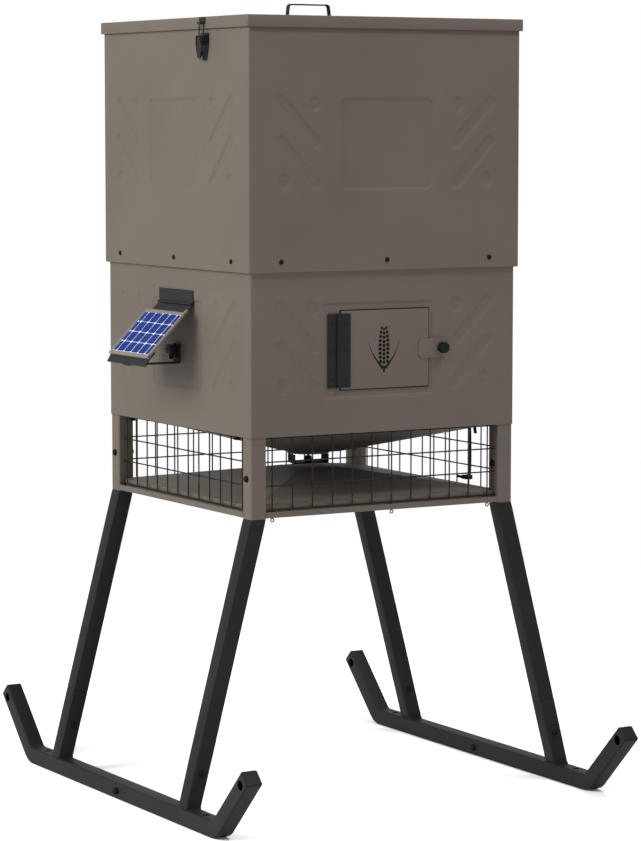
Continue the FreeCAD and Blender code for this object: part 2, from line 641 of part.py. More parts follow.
def shell_screws():
    """Pan-head screws, three a side, through both shells."""
    solids = []
    face = "upper_width / 2"
    for side in range(4):
        for column in (-1, 0, 1):
            name = "screw_%d_%d" % (side, column + 1)
            shank = rod(name + "_shank", ("%s - 3 * sheet" % face, "0", "0"), "X",
                        "screw_dia / 2", "3 * sheet + 0.5")
            head = rod(name + "_head", (face, "0", "0"), "X", "screw_head / 2", "screw_head_thick")
            screw = fuse(name, [shank, head])
            along = "%d * screw_pitch" % column
            spot = [("0", along), (along, "0"), ("0", along), (along, "0")][side]
            place(screw, spot[0], spot[1], "screw_z", str(90 * side))
            solids.append(screw)
    return group("shell_screws", solids)


def pyramid_sheet(name, top_wide, top_z, low_wide, low_z, thick):
    """A four-sided sheet funnel between a wide square and a small one."""
    outer = pyramid(name + "_outer", top_wide, top_z, low_wide, low_z)
    inner = pyramid(name + "_inner", "%s - 2 * %s" % (top_wide, thick), top_z,
                    "%s - 2 * %s" % (low_wide, thick), low_z)
    return cut(name, outer, inner)


def pyramid(name, top_wide, top_z, low_wide, low_z):
    """A square frustum as a wedge."""
    item = doc.addObject("Part::Wedge", name)
    low, top = "(%s) / 2" % low_wide, "(%s) / 2" % top_wide
    bind(item, Xmin="-" + low, Xmax=low, Zmin="-" + low, Zmax=low, X2min="-" + top, X2max=top,
         Z2min="-" + top, Z2max=top, Ymin=low_z, Ymax=top_z)
    place(item, "0", "0", "0", "90", (1, 0, 0))
    return item


def corner_blocks(name, low_z, high_z):
    """Blocks that clear the four posts out of a sheet part."""
    blocks = []
    near, far = "(post_pitch / 2 - tube / 2 - 0.5)", "(post_pitch / 2 + tube)"
    for number, (x_sign, y_sign) in enumerate(((-1, -1), (1, -1), (-1, 1), (1, 1))):
        x_low, x_high = (near, far) if x_sign > 0 else ("-" + far, "-" + near)
        y_low, y_high = (near, far) if y_sign > 0 else ("-" + far, "-" + near)
        blocks.append(box("%s%d" % (name, number), (x_low, y_low, low_z), (x_high, y_high, high_z)))
    return blocks


def square_ring(name, wide, thick, low, high):
    """A square ring with sharp corners as the difference of two boxes."""
    half = "(%s) / 2" % wide
    clear = "((%s) / 2 - %s)" % (wide, thick)
    outer = box(name + "_out", ("-" + half, "-" + half, low), (half, half, high))
    inner = box(name + "_in", ("-" + clear, "-" + clear, low + " - 1"), (clear, clear, high + " + 1"))
    return cut(name, outer, inner)


def base_pan():
    """The shallow inverted pyramid under the hopper, welded to its round outlet collar."""
    dish_wide = "(rim_width - 2 * pan_flange)"
    outer = pyramid("pan_outer", dish_wide, "pan_z", "pan_flat", "pan_low_z")
    inner = pyramid("pan_inner", dish_wide, "pan_z + thin_sheet", "pan_flat",
                    "pan_low_z + thin_sheet")
    dish = cut("pan_dish", outer, inner)
    flange = square_ring("pan_flange", "rim_width", "(pan_flange + 5)", "pan_z",
                         "pan_z + thin_sheet")
    upstand = square_ring("pan_upstand", "rim_width", "thin_sheet", "pan_z", "pan_z + pan_flange")
    sheet = fuse("pan_sheet", [dish, flange, upstand])
    holes = [rod("pan_hole", ("0", "0", "outlet_low_z"), "Z", "outlet_dia / 2 - outlet_wall",
                 "outlet_top_z - outlet_low_z")]
    holes += corner_blocks("pan_notch", "pan_z - 20", "pan_z + 40")
    tube = rod("collar_out", ("0", "0", "outlet_low_z"), "Z", "outlet_dia / 2",
               "outlet_top_z - outlet_low_z")
    mass = fuse("pan_mass", [sheet, tube])
    return label(cut("base_pan", mass, fuse("pan_holes", holes)), "base_pan")


def hopper_funnel():
    """The steep inner funnel in four mitred panels, each with an upright rim at its top."""
    slopes = pyramid_sheet("funnel_slopes", "rim_width", "funnel_top_z", "funnel_low",
                           "funnel_low_z", "slope_wall")
    rim = square_ring("funnel_rim_ring", "rim_width", "slope_wall", "funnel_top_z - 0.5",
                      "funnel_top_z + funnel_rim")
    whole = fuse("funnel_whole", [slopes, rim])
    panels = []
    for quarter in range(4):
        sector = doc.addObject("Part::Wedge", "funnel_sector%d" % quarter)
        reach = "rim_width"
        bind(sector, Xmin="-" + reach, Xmax=reach, X2min="0 * rim_width", X2max="0 * rim_width",
             Ymin="-" + reach, Ymax="0 * rim_width", Zmin="funnel_low_z - 1",
             Zmax="funnel_top_z + funnel_rim + 1", Z2min="funnel_low_z - 1",
             Z2max="funnel_top_z + funnel_rim + 1")
        place(sector, turn=str(90 * quarter), axis=(0, 0, 1))
        panels.append(common("funnel_panel%d" % quarter, whole, sector))
    return group("hopper_funnel", panels)


def hopper_parts():
    upper_shell()
    lower_shell()
    shell_screws()
    base_pan()
    hopper_funnel()


# ---------------------------------------------------------------- spinner drive
def throat(height):
    """Half the clear width of the funnel at a height, less a hair of clearance."""
    run = "(rim_width - funnel_low) / (2 * (funnel_top_z - funnel_low_z))"
    return "(funnel_low / 2 - slope_wall - 0.1 + (%s - funnel_low_z) * %s)" % (height, run)


def drive_parts():
    """A gear motor on a strap that is wedged across the throat, its shaft and spinner."""
    body = new_body("motor_bracket")
    strap = sketch_on(body, "XZ_Plane", "-strap_wide / 2")
    low, high = throat("(motor_z - strap_thick)"), throat("motor_z")
    outline(strap, [("-" + low, "motor_z - strap_thick"), (low, "motor_z - strap_thick"),
                    (high, "motor_z"), ("-" + high, "motor_z")])
    pad(body, strap, "strap_wide")
    doc.recompute()
    hole = sketch_on(body, "XY_Plane", "motor_z")
    circle(hole, "shaft_dia / 2 + 1.5")
    pocket(body, hole, "strap_thick")
    label(body, "motor_bracket")
    motor = new_body("drive_motor")
    can = sketch_on(motor, "XY_Plane", "motor_z")
    circle(can, "gear_dia / 2")
    circle(can, "shaft_dia / 2 + shaft_gap")
    pad(motor, can, "gear_long")
    shell = sketch_on(motor, "XY_Plane", "motor_z + gear_long")
    circle(shell, "motor_dia / 2")
    pad(motor, shell, "motor_long - gear_long")
    label(motor, "drive_motor")
    shaft = rod("drive_shaft", ("0", "0", "shaft_low_z"), "Z", "shaft_dia / 2",
                "motor_z + 10 - shaft_low_z")
    label(shaft, "drive_shaft")
    plate = new_body("spinner_plate")
    side = sketch_on(plate, "XZ_Plane", "-spin_wide / 2")
    end = "(spin_long / 2)"
    inside = "(spin_long / 2 - spin_thick)"
    floor = "(hub_z - spin_thick)"
    outline(side, [("-" + end, floor), (end, floor), (end, floor + " + spin_tall"),
                   (inside, floor + " + spin_tall"), (inside, "hub_z"), ("-" + inside, "hub_z"),
                   ("-" + inside, floor + " + spin_tall"), ("-" + end, floor + " + spin_tall")])
    pad(plate, side, "spin_wide")
    hub = sketch_on(plate, "XY_Plane", "hub_z")
    circle(hub, "hub_dia / 2")
    pad(plate, hub, "hub_long")
    doc.recompute()
    hole = sketch_on(plate, "XY_Plane")
    circle(hole, "shaft_dia / 2")
    pocket(plate, hole)
    place(plate, "0", "0", "0", "-10")
    label(plate, "spinner_plate")


# ---------------------------------------------------------------- lid, hinges and latch
def lid_parts():
    body = new_body("lid")
    slab = sketch_on(body, "XY_Plane", "lid_top - lid_skirt")
    rounded_square(slab, "lid_width", "lid_corner")
    pad(body, slab, "lid_skirt")
    doc.recompute()
    hollow = sketch_on(body, "XY_Plane", "lid_top - thin_sheet")
    rounded_square(hollow, "lid_width", "lid_corner", "thin_sheet", SIZES["thin_sheet"])
    pocket(body, hollow, "lid_skirt")
    label(body, "lid")
    strap = new_body("lid_handle")
    side = sketch_on(strap, "XZ_Plane", "-handle_wide / 2")
    end = "handle_long / 2"
    low = "lid_top"
    top = "lid_top + handle_tall"
    leg_x = "(handle_long / 2 - handle_foot)"
    outline(side, [
        ("-" + end, low), ("-%s + handle_thick" % leg_x, low),
        ("-%s + handle_thick + handle_bend / 3" % leg_x, top + " - handle_thick - handle_bend"),
        ("-%s + handle_thick + handle_bend" % leg_x, top + " - handle_thick"),
        ("%s - handle_thick - handle_bend" % leg_x, top + " - handle_thick"),
        ("%s - handle_thick - handle_bend / 3" % leg_x, top + " - handle_thick - handle_bend"),
        ("%s - handle_thick" % leg_x, low), (end, low), (end, low + " + handle_thick"),
        (leg_x, low + " + handle_thick"), (leg_x + " - handle_bend / 3", top + " - handle_bend"),
        (leg_x + " - handle_bend", top), ("-%s + handle_bend" % leg_x, top),
        ("-%s + handle_bend / 3" % leg_x, top + " - handle_bend"),
        ("-" + leg_x, low + " + handle_thick"), ("-" + end, low + " + handle_thick")])
    pad(strap, side, "handle_wide")
    label(strap, "lid_handle")


def lid_hinges():
    """Two butt hinges: one knuckle on the lid between two on the shell, and a pin."""
    lid_side, shell_side, pins = [], [], []
    third = "lid_hinge_wide / 3"
    for side in (-1, 1):
        middle = "%d * lid_hinge_y" % side
        tag = "a" if side < 0 else "b"
        low = "(%s - lid_hinge_wide / 2)" % middle
        axis = ("lid_axis_x", "lid_axis_z")
        bore = rod("lid_bore_" + tag, (axis[0], low + " - 1", axis[1]), "Y",
                   "lid_pin / 2 + run_gap", "lid_hinge_wide + 2")
        leaf = box("lid_leaf_" + tag, ("lid_width / 2", low + " + %s + axial_gap" % third,
                                       "lid_axis_z - lid_barrel / 2 + 1"),
                   ("lid_width / 2 + leaf", low + " + 2 * %s - axial_gap" % third,
                    "lid_top - 3"))
        web = box("lid_web_" + tag, ("lid_width / 2 + leaf / 2", low + " + %s + axial_gap" % third,
                                     "lid_axis_z"),
                  ("lid_axis_x", low + " + 2 * %s - axial_gap" % third, "lid_axis_z + lid_barrel / 2"))
        knuckle = rod("lid_knuckle_" + tag, (axis[0], low + " + %s + axial_gap" % third, axis[1]),
                      "Y", "lid_barrel / 2", "%s - 2 * axial_gap" % third)
        top = box("lid_pad_" + tag, ("lid_width / 2", low, "lid_top - lid_skirt + 4"),
                  ("lid_width / 2 + leaf", low + " + lid_hinge_wide", "lid_top - 3"))
        lid_side.append(cut("lid_half_" + tag, fuse("lid_mass_" + tag, [leaf, web, knuckle, top]),
                            bore))
        plate = box("shell_leaf_" + tag, ("upper_width / 2", low, "lid_axis_z - leaf_tall"),
                    ("upper_width / 2 + leaf", low + " + lid_hinge_wide", "lid_axis_z - 8"))
        parts = [plate]
        for number, start in enumerate((low, low + " + 2 * %s" % third)):
            parts.append(rod("shell_knuckle_%s%d" % (tag, number), (axis[0], start, axis[1]), "Y",
                             "lid_barrel / 2", third))
            parts.append(box("shell_web_%s%d" % (tag, number),
                             ("upper_width / 2", start, "lid_axis_z - 10"),
                             ("lid_axis_x + 1", start + " + " + third, "lid_axis_z - 2.5")))
        grip = rod("shell_bore_" + tag, (axis[0], low + " - 1", axis[1]), "Y", "lid_pin / 2",
                   "lid_hinge_wide + 2")
        shell_side.append(cut("shell_half_" + tag, fuse("shell_mass_" + tag, parts), grip))
        pins.append(rod("lid_pin_" + tag, (axis[0], low + " - 2", axis[1]), "Y", "lid_pin / 2",
                        "lid_hinge_wide + 4"))
    group("lid_hinge_lid_leaves", lid_side)
    group("lid_hinge_shell_leaves", shell_side)
    group("lid_hinge_pins", pins)


def latch_parts():
    """A toggle latch on the shell whose wire bail hooks a tongue on the lid."""
    face = "-upper_width / 2"
    pivot_x = "(%s - latch_axis_out)" % face
    half, foot = "latch_wide / 2", "latch_foot / 2"
    plate = new_body("latch_plate")
    shape = sketch_on(plate, "YZ_Plane", face + " - leaf")
    shoulder = "latch_axis_z - 14"
    outline(shape, [("latch_y - " + foot, "latch_low_z"), ("latch_y + " + foot, "latch_low_z"),
                    ("latch_y + " + half, shoulder), ("latch_y + " + half, "latch_top_z"),
                    ("latch_y - " + half, "latch_top_z"), ("latch_y - " + half, shoulder)])
    pad(plate, shape, "leaf")
    base = [plate]
    for side in (-1, 1):
        edge = "latch_y + %d * latch_wide / 2" % side
        root = edge + " - %d * latch_ear" % side
        low, high = (edge, root) if side < 0 else (root, edge)
        base.append(box("latch_ear%d" % side, (pivot_x + " - 4", low, "latch_axis_z - 6"),
                        (face, high, "latch_axis_z + 6")))
        stub = edge + (" - 1" if side < 0 else " - latch_ear - cheek - 3")
        base.append(rod("latch_stub%d" % side, (pivot_x, stub, "latch_axis_z"), "Y",
                        "latch_pin / 2", "latch_ear + cheek + 4"))
    staple = box("latch_staple", (face + " - 8", "latch_y + staple_in", "staple_z - 5"),
                 (face, "latch_y + staple_in + leaf", "staple_z + 5"))
    eye = rod("latch_eye", (face + " - 5", "latch_y + staple_in - 1", "staple_z"), "Y",
              "pin_ring_wire / 2 + 0.4", "leaf + 2")
    ring = doc.addObject("Part::Torus", "latch_pin_ring")
    bind(ring, Radius1="pin_ring / 2", Radius2="pin_ring_wire / 2")
    place(ring, face + " - 5", "latch_y + staple_in + leaf / 2", "staple_z - pin_ring / 2", "90",
          (0, 1, 0))
    group("latch_base", [fuse("latch_base_whole", base), cut("latch_staple_eye", staple, eye), ring])
    lever_parts(pivot_x)
    keeper_parts()


def lever_parts(pivot_x):
    """The folded lever between the base's ears and the wire bail that it pulls down."""
    skin = pivot_x + " - skin_out"
    half, tip = "lever_wide / 2", "lever_tip / 2"
    lever = new_body("latch_lever")
    cover = sketch_on(lever, "YZ_Plane", skin + " - skin_thick")
    top, shoulder = "latch_axis_z + 3", "latch_axis_z - 16"
    outline(cover, [("latch_y - " + tip, "lever_low_z"), ("latch_y + " + tip, "lever_low_z"),
                    ("latch_y + " + half, shoulder), ("latch_y + " + half, top),
                    ("latch_y - " + half, top), ("latch_y - " + half, shoulder)])
    pad(lever, cover, "skin_thick")
    for side in (-1, 1):
        edge = "latch_y + %d * %s" % (side, half)
        inner = edge + " - %d * cheek" % side
        low, high = (edge, inner) if side < 0 else (inner, edge)
        cheek = sketch_on(lever, "YZ_Plane", skin + " - 0.2")
        rectangle(cheek, low, "latch_axis_z - 15", high, "latch_axis_z + 3")
        pad(lever, cheek, "skin_out + 3.2")
    notches = sketch_on(lever, "YZ_Plane", skin)
    for side in (-1, 1):
        centred(notches, "bail_wire + 1.2", "bail_notch", "latch_y + %d * bail_wide / 2" % side,
                "latch_axis_z + 3 - bail_notch / 2 + 0.5")
    pocket(lever, notches)
    doc.recompute()
    bore = sketch_on(lever, "XZ_Plane")
    circle(bore, "latch_pin / 2 + run_gap", pivot_x, "latch_axis_z")
    circle(bore, "bail_wire / 2 + run_gap", pivot_x + " + bail_in", "latch_axis_z - bail_drop")
    pocket(lever, bore)
    label(lever, "latch_lever")
    bail_x = "(%s + bail_in)" % pivot_x
    low_z = "(latch_axis_z - bail_drop)"
    reach = "(bail_top_z - %s)" % low_z
    radius = "bail_wire / 2"
    parts = []
    cross = rod("bail_top", (bail_x, "latch_y - bail_wide / 2", "bail_top_z"), "Y", radius,
                "bail_wide")
    parts.append(cross)
    for side in (-1, 1):
        edge = "latch_y + %d * (bail_wide / 2)" % side
        parts.append(rod("bail_side%d" % (side + 1), (bail_x, edge, low_z), "Z", radius, reach))
        ball = doc.addObject("Part::Sphere", "bail_corner%d" % (side + 1))
        bind(ball, Radius=radius)
        parts.append(place(ball, bail_x, edge, "bail_top_z"))
        foot = doc.addObject("Part::Sphere", "bail_foot%d" % (side + 1))
        bind(foot, Radius=radius)
        parts.append(place(foot, bail_x, edge, low_z))
        out = "latch_y + %d * %s" % (side, half)
        start = edge if side > 0 else out
        parts.append(rod("bail_toe%d" % (side + 1), (bail_x, start, low_z), "Y", radius,
                         "(lever_wide - bail_wide) / 2"))
    label(fuse("latch_bail", parts), "latch_bail")


def keeper_parts():
    """The tongue on the lid's skirt: a ledge with an upturned lip."""
    skin = "-lid_width / 2"
    plate = box("keeper_plate", (skin + " - thin_sheet", "latch_y - keeper_wide / 2", "keeper_low_z"),
                (skin, "latch_y + keeper_wide / 2", "keeper_low_z + keeper_tall"))
    left, right = "latch_y - tongue_wide / 2", "latch_y + tongue_wide / 2"
    ledge = box("keeper_ledge", (skin + " - tongue_out", left, "keeper_low_z"),
                (skin + " - 0.5", right, "keeper_low_z + thin_sheet"))
    lip = box("keeper_lip", (skin + " - tongue_out", left, "keeper_low_z"),
              (skin + " - tongue_out + thin_sheet", right, "keeper_low_z + tongue_lip"))
    label(fuse("latch_keeper", [plate, ledge, lip]), "latch_keeper")


# ---------------------------------------------------------------- control door and box
def door_parts():
    face = "lower_width / 2"
    back = "(%s - stamp_deep + door_gap)" % face
    body = new_body("control_door")
    panel = sketch_on(body, "XZ_Plane", back)
    rectangle(panel, "door_left", "door_low", "door_right", "door_high")
    pad(body, panel, "sheet")
    label(body, "control_door")
    tab = new_body("door_tab")
    plate = sketch_on(tab, "XZ_Plane", back + " + sheet")
    half = "tab_tall / 2"
    bevel = "tab_round * 0.6"
    outline(plate, [("tab_left + " + bevel, "tab_z - " + half), ("tab_right", "tab_z - " + half),
                    ("tab_right", "tab_z + " + half), ("tab_left + " + bevel, "tab_z + " + half),
                    ("tab_left", "tab_z + %s - %s" % (half, bevel)),
                    ("tab_left", "tab_z - %s + %s" % (half, bevel))])
    circle(plate, "knob_shank / 2 + run_gap", "knob_x", "tab_z")
    pad(tab, plate, "leaf")
    label(tab, "door_tab")
    front = "(%s + sheet + leaf)" % back
    grip = rod("knob_grip", ("knob_x", "-%s - 0.3 - knob_long" % front, "tab_z"), "Y",
               "knob_dia / 2", "knob_long")
    shank = rod("knob_shank_rod", ("knob_x", "-%s - 1" % front, "tab_z"), "Y", "knob_shank / 2",
                "1 + sheet + leaf + knob_shank_long")
    notches = []
    for number in range(8):
        turn = math.radians(45 * number + 22.5)
        spot = ("knob_x + %.4f * knob_dia / 2" % math.cos(turn), "-%s - knob_long - 1" % front,
                "tab_z + %.4f * knob_dia / 2" % math.sin(turn))
        notches.append(rod("knob_flute%d" % number, spot, "Y", "2.2", "knob_long + 1.5"))
    head = cut("knob_head", grip, fuse("knob_flutes", notches))
    label(fuse("door_knob", [head, shank]), "door_knob")
    door_hinge(face, back)


def door_hinge(face, back):
    """A five-knuckle hinge: wall leaf and knuckles, door leaf and knuckles, pin."""
    floor = "(%s - stamp_deep)" % face
    axis_y = "(-%s - sheet - leaf - 0.2)" % back
    step = "(hinge_high - hinge_low) / 5"
    wall = [box("wall_leaf", ("hinge_x - hinge_leaf_out", "-%s - leaf" % floor, "hinge_low"),
                ("hinge_x - hinge_barrel / 2 - 0.5", "-" + floor, "hinge_high"))]
    door = [box("door_leaf", ("hinge_x + hinge_barrel / 2 + 0.5", "-%s - sheet - leaf" % back,
                              "hinge_low"),
                ("hinge_x + hinge_door_leaf", "-%s - sheet" % back, "hinge_high"))]
    for number in range(5):
        on_wall = number % 2 == 0
        low = "(hinge_low + %d * %s)" % (number, step)
        start, long = (low, step) if on_wall else (low + " + axial_gap", step + " - 2 * axial_gap")
        knuckle = rod("hinge_knuckle%d" % number, ("hinge_x", axis_y, start), "Z",
                      "hinge_barrel / 2", long)
        if on_wall:
            web = box("hinge_web%d" % number, ("hinge_x - hinge_barrel / 2 - 1",
                                               "-%s - leaf" % floor, start),
                      ("hinge_x", "-" + floor, start + " + " + long))
            wall += [knuckle, web]
        else:
            web = box("hinge_web%d" % number, ("hinge_x", "-%s - sheet - leaf" % back, start),
                      ("hinge_x + hinge_barrel / 2 + 1", "-%s - sheet" % back,
                       start + " + " + long))
            door += [knuckle, web]
    whole = "hinge_high - hinge_low + 2"
    tight = rod("hinge_tight", ("hinge_x", axis_y, "hinge_low - 1"), "Z", "hinge_pin / 2", whole)
    loose = rod("hinge_loose", ("hinge_x", axis_y, "hinge_low - 1"), "Z",
                "hinge_pin / 2 + run_gap", whole)
    label(cut("door_hinge_wall_leaf", fuse("wall_mass", wall), tight), "door_hinge_wall_leaf")
    label(cut("door_hinge_door_leaf", fuse("door_mass", door), loose), "door_hinge_door_leaf")
    pin = rod("hinge_pin_rod", ("hinge_x", axis_y, "hinge_low"), "Z", "hinge_pin / 2",
              "hinge_high - hinge_low")
    label(pin, "door_hinge_pin")


def control_box():
    front = "(-lower_width / 2 + sheet + fit_gap)"
    back = "(%s + box_deep)" % front
    outer = box("box_outer", ("box_left", front, "box_low"), ("box_right", back, "box_high"))
    inner = box("box_inner", ("box_left + box_wall", front + " - 1", "box_low + box_wall"),
                ("box_right - box_wall", back + " - box_wall", "box_high - box_wall"))
    label(cut("control_housing", outer, inner), "control_housing")
    floor = "(%s - box_wall - 0.3)" % back
    left = "(battery_x - battery_wide / 2)"
    base_z = "(box_low + box_wall + 0.3)"
    cell = box("battery_block", (left, "%s - battery_deep" % floor, base_z),
               (left + " + battery_wide", floor, base_z + " + battery_tall"))
    posts = []
    for side in (-1, 1):
        posts.append(rod("battery_post%d" % (side + 1),
                         ("battery_x + %d * 20" % side, "%s - battery_deep / 2" % floor,
                          base_z + " + battery_tall - 1"), "Z", "4", "9"))
    label(fuse("battery", [cell] + posts), "battery")
    half = "timer_wide / 2"
    case = box("timer_block", ("timer_x - " + half, "%s - timer_deep" % floor,
                               "timer_z - timer_tall / 2"),
               ("timer_x + " + half, floor, "timer_z + timer_tall / 2"))
    face = "(%s - timer_deep)" % floor
    recess = box("timer_recess", ("timer_x - display_wide / 2", face + " - 1",
                                  "display_z - display_tall / 2"),
                 ("timer_x + display_wide / 2", face + " + 2", "display_z + display_tall / 2"))
    holes = [recess]
    for number in (-1, 0, 1):
        holes.append(rod("button_well%d" % (number + 1),
                         ("timer_x + %d * button_pitch" % number, face + " - 1", "button_z"), "Y",
                         "button_dia / 2 + 0.3", "7"))
    shell = cut("timer_shell", case, fuse("timer_holes", holes))
    glass = box("timer_display", ("timer_x - display_wide / 2 + 0.2", face + " + 0.2",
                                  "display_z - display_tall / 2 + 0.2"),
                ("timer_x + display_wide / 2 - 0.2", face + " + 2",
                 "display_z + display_tall / 2 - 0.2"))
    group("timer_case", [shell, glass])
    for number, name in enumerate(("set_button", "up_button", "test_button")):
        cap = rod(name, ("timer_x + %d * button_pitch" % (number - 1), face + " - button_out",
                         "button_z"), "Y", "button_dia / 2", "button_out + 3")
        label(cap, name)


# ---------------------------------------------------------------- solar panel
def tilted(item, x, z, tilt):
    """Tip a solid about Y so that its local -X runs outwards and down."""
    return place(item, x, "solar_y", z, "-" + tilt, (0, 1, 0))


def solar_parts():
    """A bent bracket, the framed panel that lies on its slope, and a small socket."""
    wall = "(-lower_width / 2)"
    top_x = "(%s - panel_top_out)" % wall
    bend_z = "(panel_top_z + panel_top_out - solar_sheet - panel_thick * sqrt(2) - 0.3)"
    half, leaf_half = "(panel_wide / 2)", "(solar_leaf_wide / 2)"
    low_x = "(%s - panel_top_out - (panel_long + 1) / sqrt(2) + panel_thick / sqrt(2))" % wall
    low_z = "(%s - (%s - solar_sheet - %s))" % (bend_z, wall, low_x)
    leaf = box("solar_leaf", (wall + " - solar_sheet", "solar_y - " + leaf_half, bend_z + " - 2"),
               (wall, "solar_y + " + leaf_half, "solar_leaf_top"))
    run = "((%s - solar_sheet - %s) * sqrt(2))" % (wall, low_x)
    slab = box("solar_slope", ("0", "0", "0"), (run, "solar_leaf_wide", "solar_sheet"))
    slope = shifted("solar_slope_seat", slab, "-" + run, "-" + leaf_half, "-solar_sheet",
                    wall + " - solar_sheet", bend_z, "solar_tilt")
    strip = shifted("solar_strip_seat", box("solar_strip", ("0", "0", "0"),
                                            ("lip_strip", "panel_wide", "solar_sheet")),
                    "-0.5", "-" + half, "-solar_sheet", low_x, low_z, "solar_tilt")
    lip = shifted("solar_lip_seat", box("solar_lip", ("0", "0", "0"),
                                        ("lip_long", "panel_wide", "solar_sheet")),
                  "-lip_long + 0.5", "-" + half, "-solar_sheet", low_x, low_z, "lip_tilt")
    end_x = "(%s - lip_long / 2.2)" % low_x
    arm = box("brace_arm", (end_x, "solar_y - brace_wide / 2", "brace_z"),
              (wall, "solar_y + brace_wide / 2", "brace_z + solar_sheet"))
    back = box("brace_leaf", (wall + " - solar_sheet", "solar_y - brace_wide / 2", "brace_z"),
               (wall, "solar_y + brace_wide / 2", "brace_leaf_top"))
    label(fuse("solar_bracket", [leaf, slope, strip, lip, arm, back]), "solar_bracket")
    out = shifted("frame_seat", box("frame_out", ("0", "0", "0"),
                                    ("panel_long", "panel_wide", "panel_thick")),
                  "-panel_long", "-" + half, "-panel_thick", top_x, "panel_top_z", "solar_tilt")
    well = shifted("well_seat", box("frame_well", ("0", "0", "0"),
                                    ("panel_long - 2 * panel_rim", "panel_wide - 2 * panel_rim",
                                     "glass_thick + 1")),
                   "-panel_long + panel_rim", "-%s + panel_rim" % half, "-glass_thick", top_x,
                   "panel_top_z", "solar_tilt")
    frame = [cut("frame_tray", out, well)]
    for side in (-1, 1):
        bar = box("frame_bar%d" % side, ("0", "0", "0"),
                  ("panel_long + rail_over", "rail_round", "rail_round"))
        edge = "-" + half if side < 0 else half + " - rail_round"
        frame.append(shifted("bar_seat%d" % side, bar, "-panel_long", edge, "-panel_thick", top_x,
                             "panel_top_z", "solar_tilt"))
    label(fuse("solar_frame", frame), "solar_frame")
    glass = box("panel_glass", ("0", "0", "0"), ("panel_long - 2 * panel_rim - 0.4",
                                                 "panel_wide - 2 * panel_rim - 0.4",
                                                 "glass_thick - 0.4"))
    label(shifted("solar_cells", glass, "-panel_long + panel_rim + 0.2",
                  "-%s + panel_rim + 0.2" % half, "-glass_thick + 0.1", top_x, "panel_top_z",
                  "solar_tilt"), "solar_cells")
    socket = box("junction_block", (wall + " - solar_sheet - junction_deep",
                                    "junction_y - junction_wide / 2",
                                    "junction_z - junction_tall / 2"),
                 (wall + " - solar_sheet - 0.1", "junction_y + junction_wide / 2",
                  "junction_z + junction_tall / 2"))
    label(socket, "solar_junction_box")


def shifted(name, item, across, along, up, x, z, tilt):
    """Move a solid in its own flat frame, then tip that frame into place."""
    place(item, across, along, up)
    seat = doc.addObject("Part::Compound", name)
    seat.Links = [item]
    return tilted(seat, x, z, tilt)


# ---------------------------------------------------------------- cage
def rails():
    """Angle rails between the posts; the tray and the guards stand in their troughs."""
    half = "(post_pitch / 2 - tube / 2 - 0.1)"
    bodies = []
    for name, turn in (("front", "0"), ("right", "90"), ("back", "180"), ("left", "270")):
        body = new_body("rail_" + name)
        side = sketch_on(body, "YZ_Plane", "-" + half)
        out, inside = "-post_face", "-post_face + rail_sheet"
        outline(side, [(out, "rail_low"), (out + " + rail_deep", "rail_low"),
                       (out + " + rail_deep", "rail_low + rail_sheet"),
                       (inside, "rail_low + rail_sheet"), (inside, "rail_low + rail_tall"),
                       (out, "rail_low + rail_tall")])
        pad(body, side, "2 * " + half)
        doc.recompute()
        if name == "front":
            eyes = sketch_on(body, "XY_Plane")
            for column in EYE_WIRES:
                circle(eyes, "wire / 2 + 0.6", "%s * mesh" % column, "-post_face + guard_in")
            pocket(body, eyes)
        bodies.append(place(body, "0", "0", "0", turn))
    group("bottom_rails", bodies)


EYE_WIRES = (-5.5, 0.5, 5.5)


def tray():
    """The catch tray: a low pyramid that sheds feed, with a folded skirt."""
    wide = "(2 * tray_half)"
    top = pyramid("tray_top", "tray_flat", "tray_peak_z", wide, "tray_edge_z")
    under = pyramid("tray_under", "tray_flat", "tray_peak_z - thin_sheet", wide,
                    "tray_edge_z - thin_sheet")
    roof = cut("tray_roof", top, under)
    skirt = square_ring("tray_skirt", wide, "thin_sheet", "tray_edge_z - tray_skirt",
                        "tray_edge_z - thin_sheet / 2")
    rim = square_ring("tray_rim", wide, "tray_rim_wide", "tray_edge_z - thin_sheet",
                      "tray_edge_z")
    notches = corner_blocks("tray_notch", "rail_low", "tray_edge_z + 10")
    body = cut("catch_tray", fuse("tray_mass", [roof, skirt, rim]), fuse("tray_notches", notches))
    return label(body, "catch_tray")


def guard(name, turn, reach, eyes=False):
    """A welded wire grille: twelve uprights and four cross wires."""
    plane_y = "(-post_face + guard_in)"
    lapped = "(%s + wire - weld)" % plane_y
    parts = []
    for column in range(12):
        x = "%.1f * mesh" % (column - 5.5)
        low = "guard_low_z"
        if eyes and column - 5.5 in EYE_WIRES:
            low = "eye_z"
        parts.append(rod("%s_up%d" % (name, column), (x, plane_y, low), "Z", "wire / 2",
                         "guard_top_z - (%s)" % low))
        if eyes and column - 5.5 in EYE_WIRES:
            ring = doc.addObject("Part::Torus", "%s_eye%d" % (name, column))
            bind(ring, Radius1="eye_ring", Radius2="eye_wire / 2")
            parts.append(place(ring, x, plane_y, "eye_z - eye_ring", "90", (1, 0, 0)))
    for row in range(4):
        z = "guard_low_z + %d * mesh_rise" % row
        y = lapped if row else plane_y
        parts.append(rod("%s_cross%d" % (name, row), ("-(%s)" % reach, y, z), "X", "wire / 2",
                         "2 * (%s)" % reach))
    grille = fuse(name, parts)
    place(grille, "0", "0", "0", turn)
    return label(grille, name)


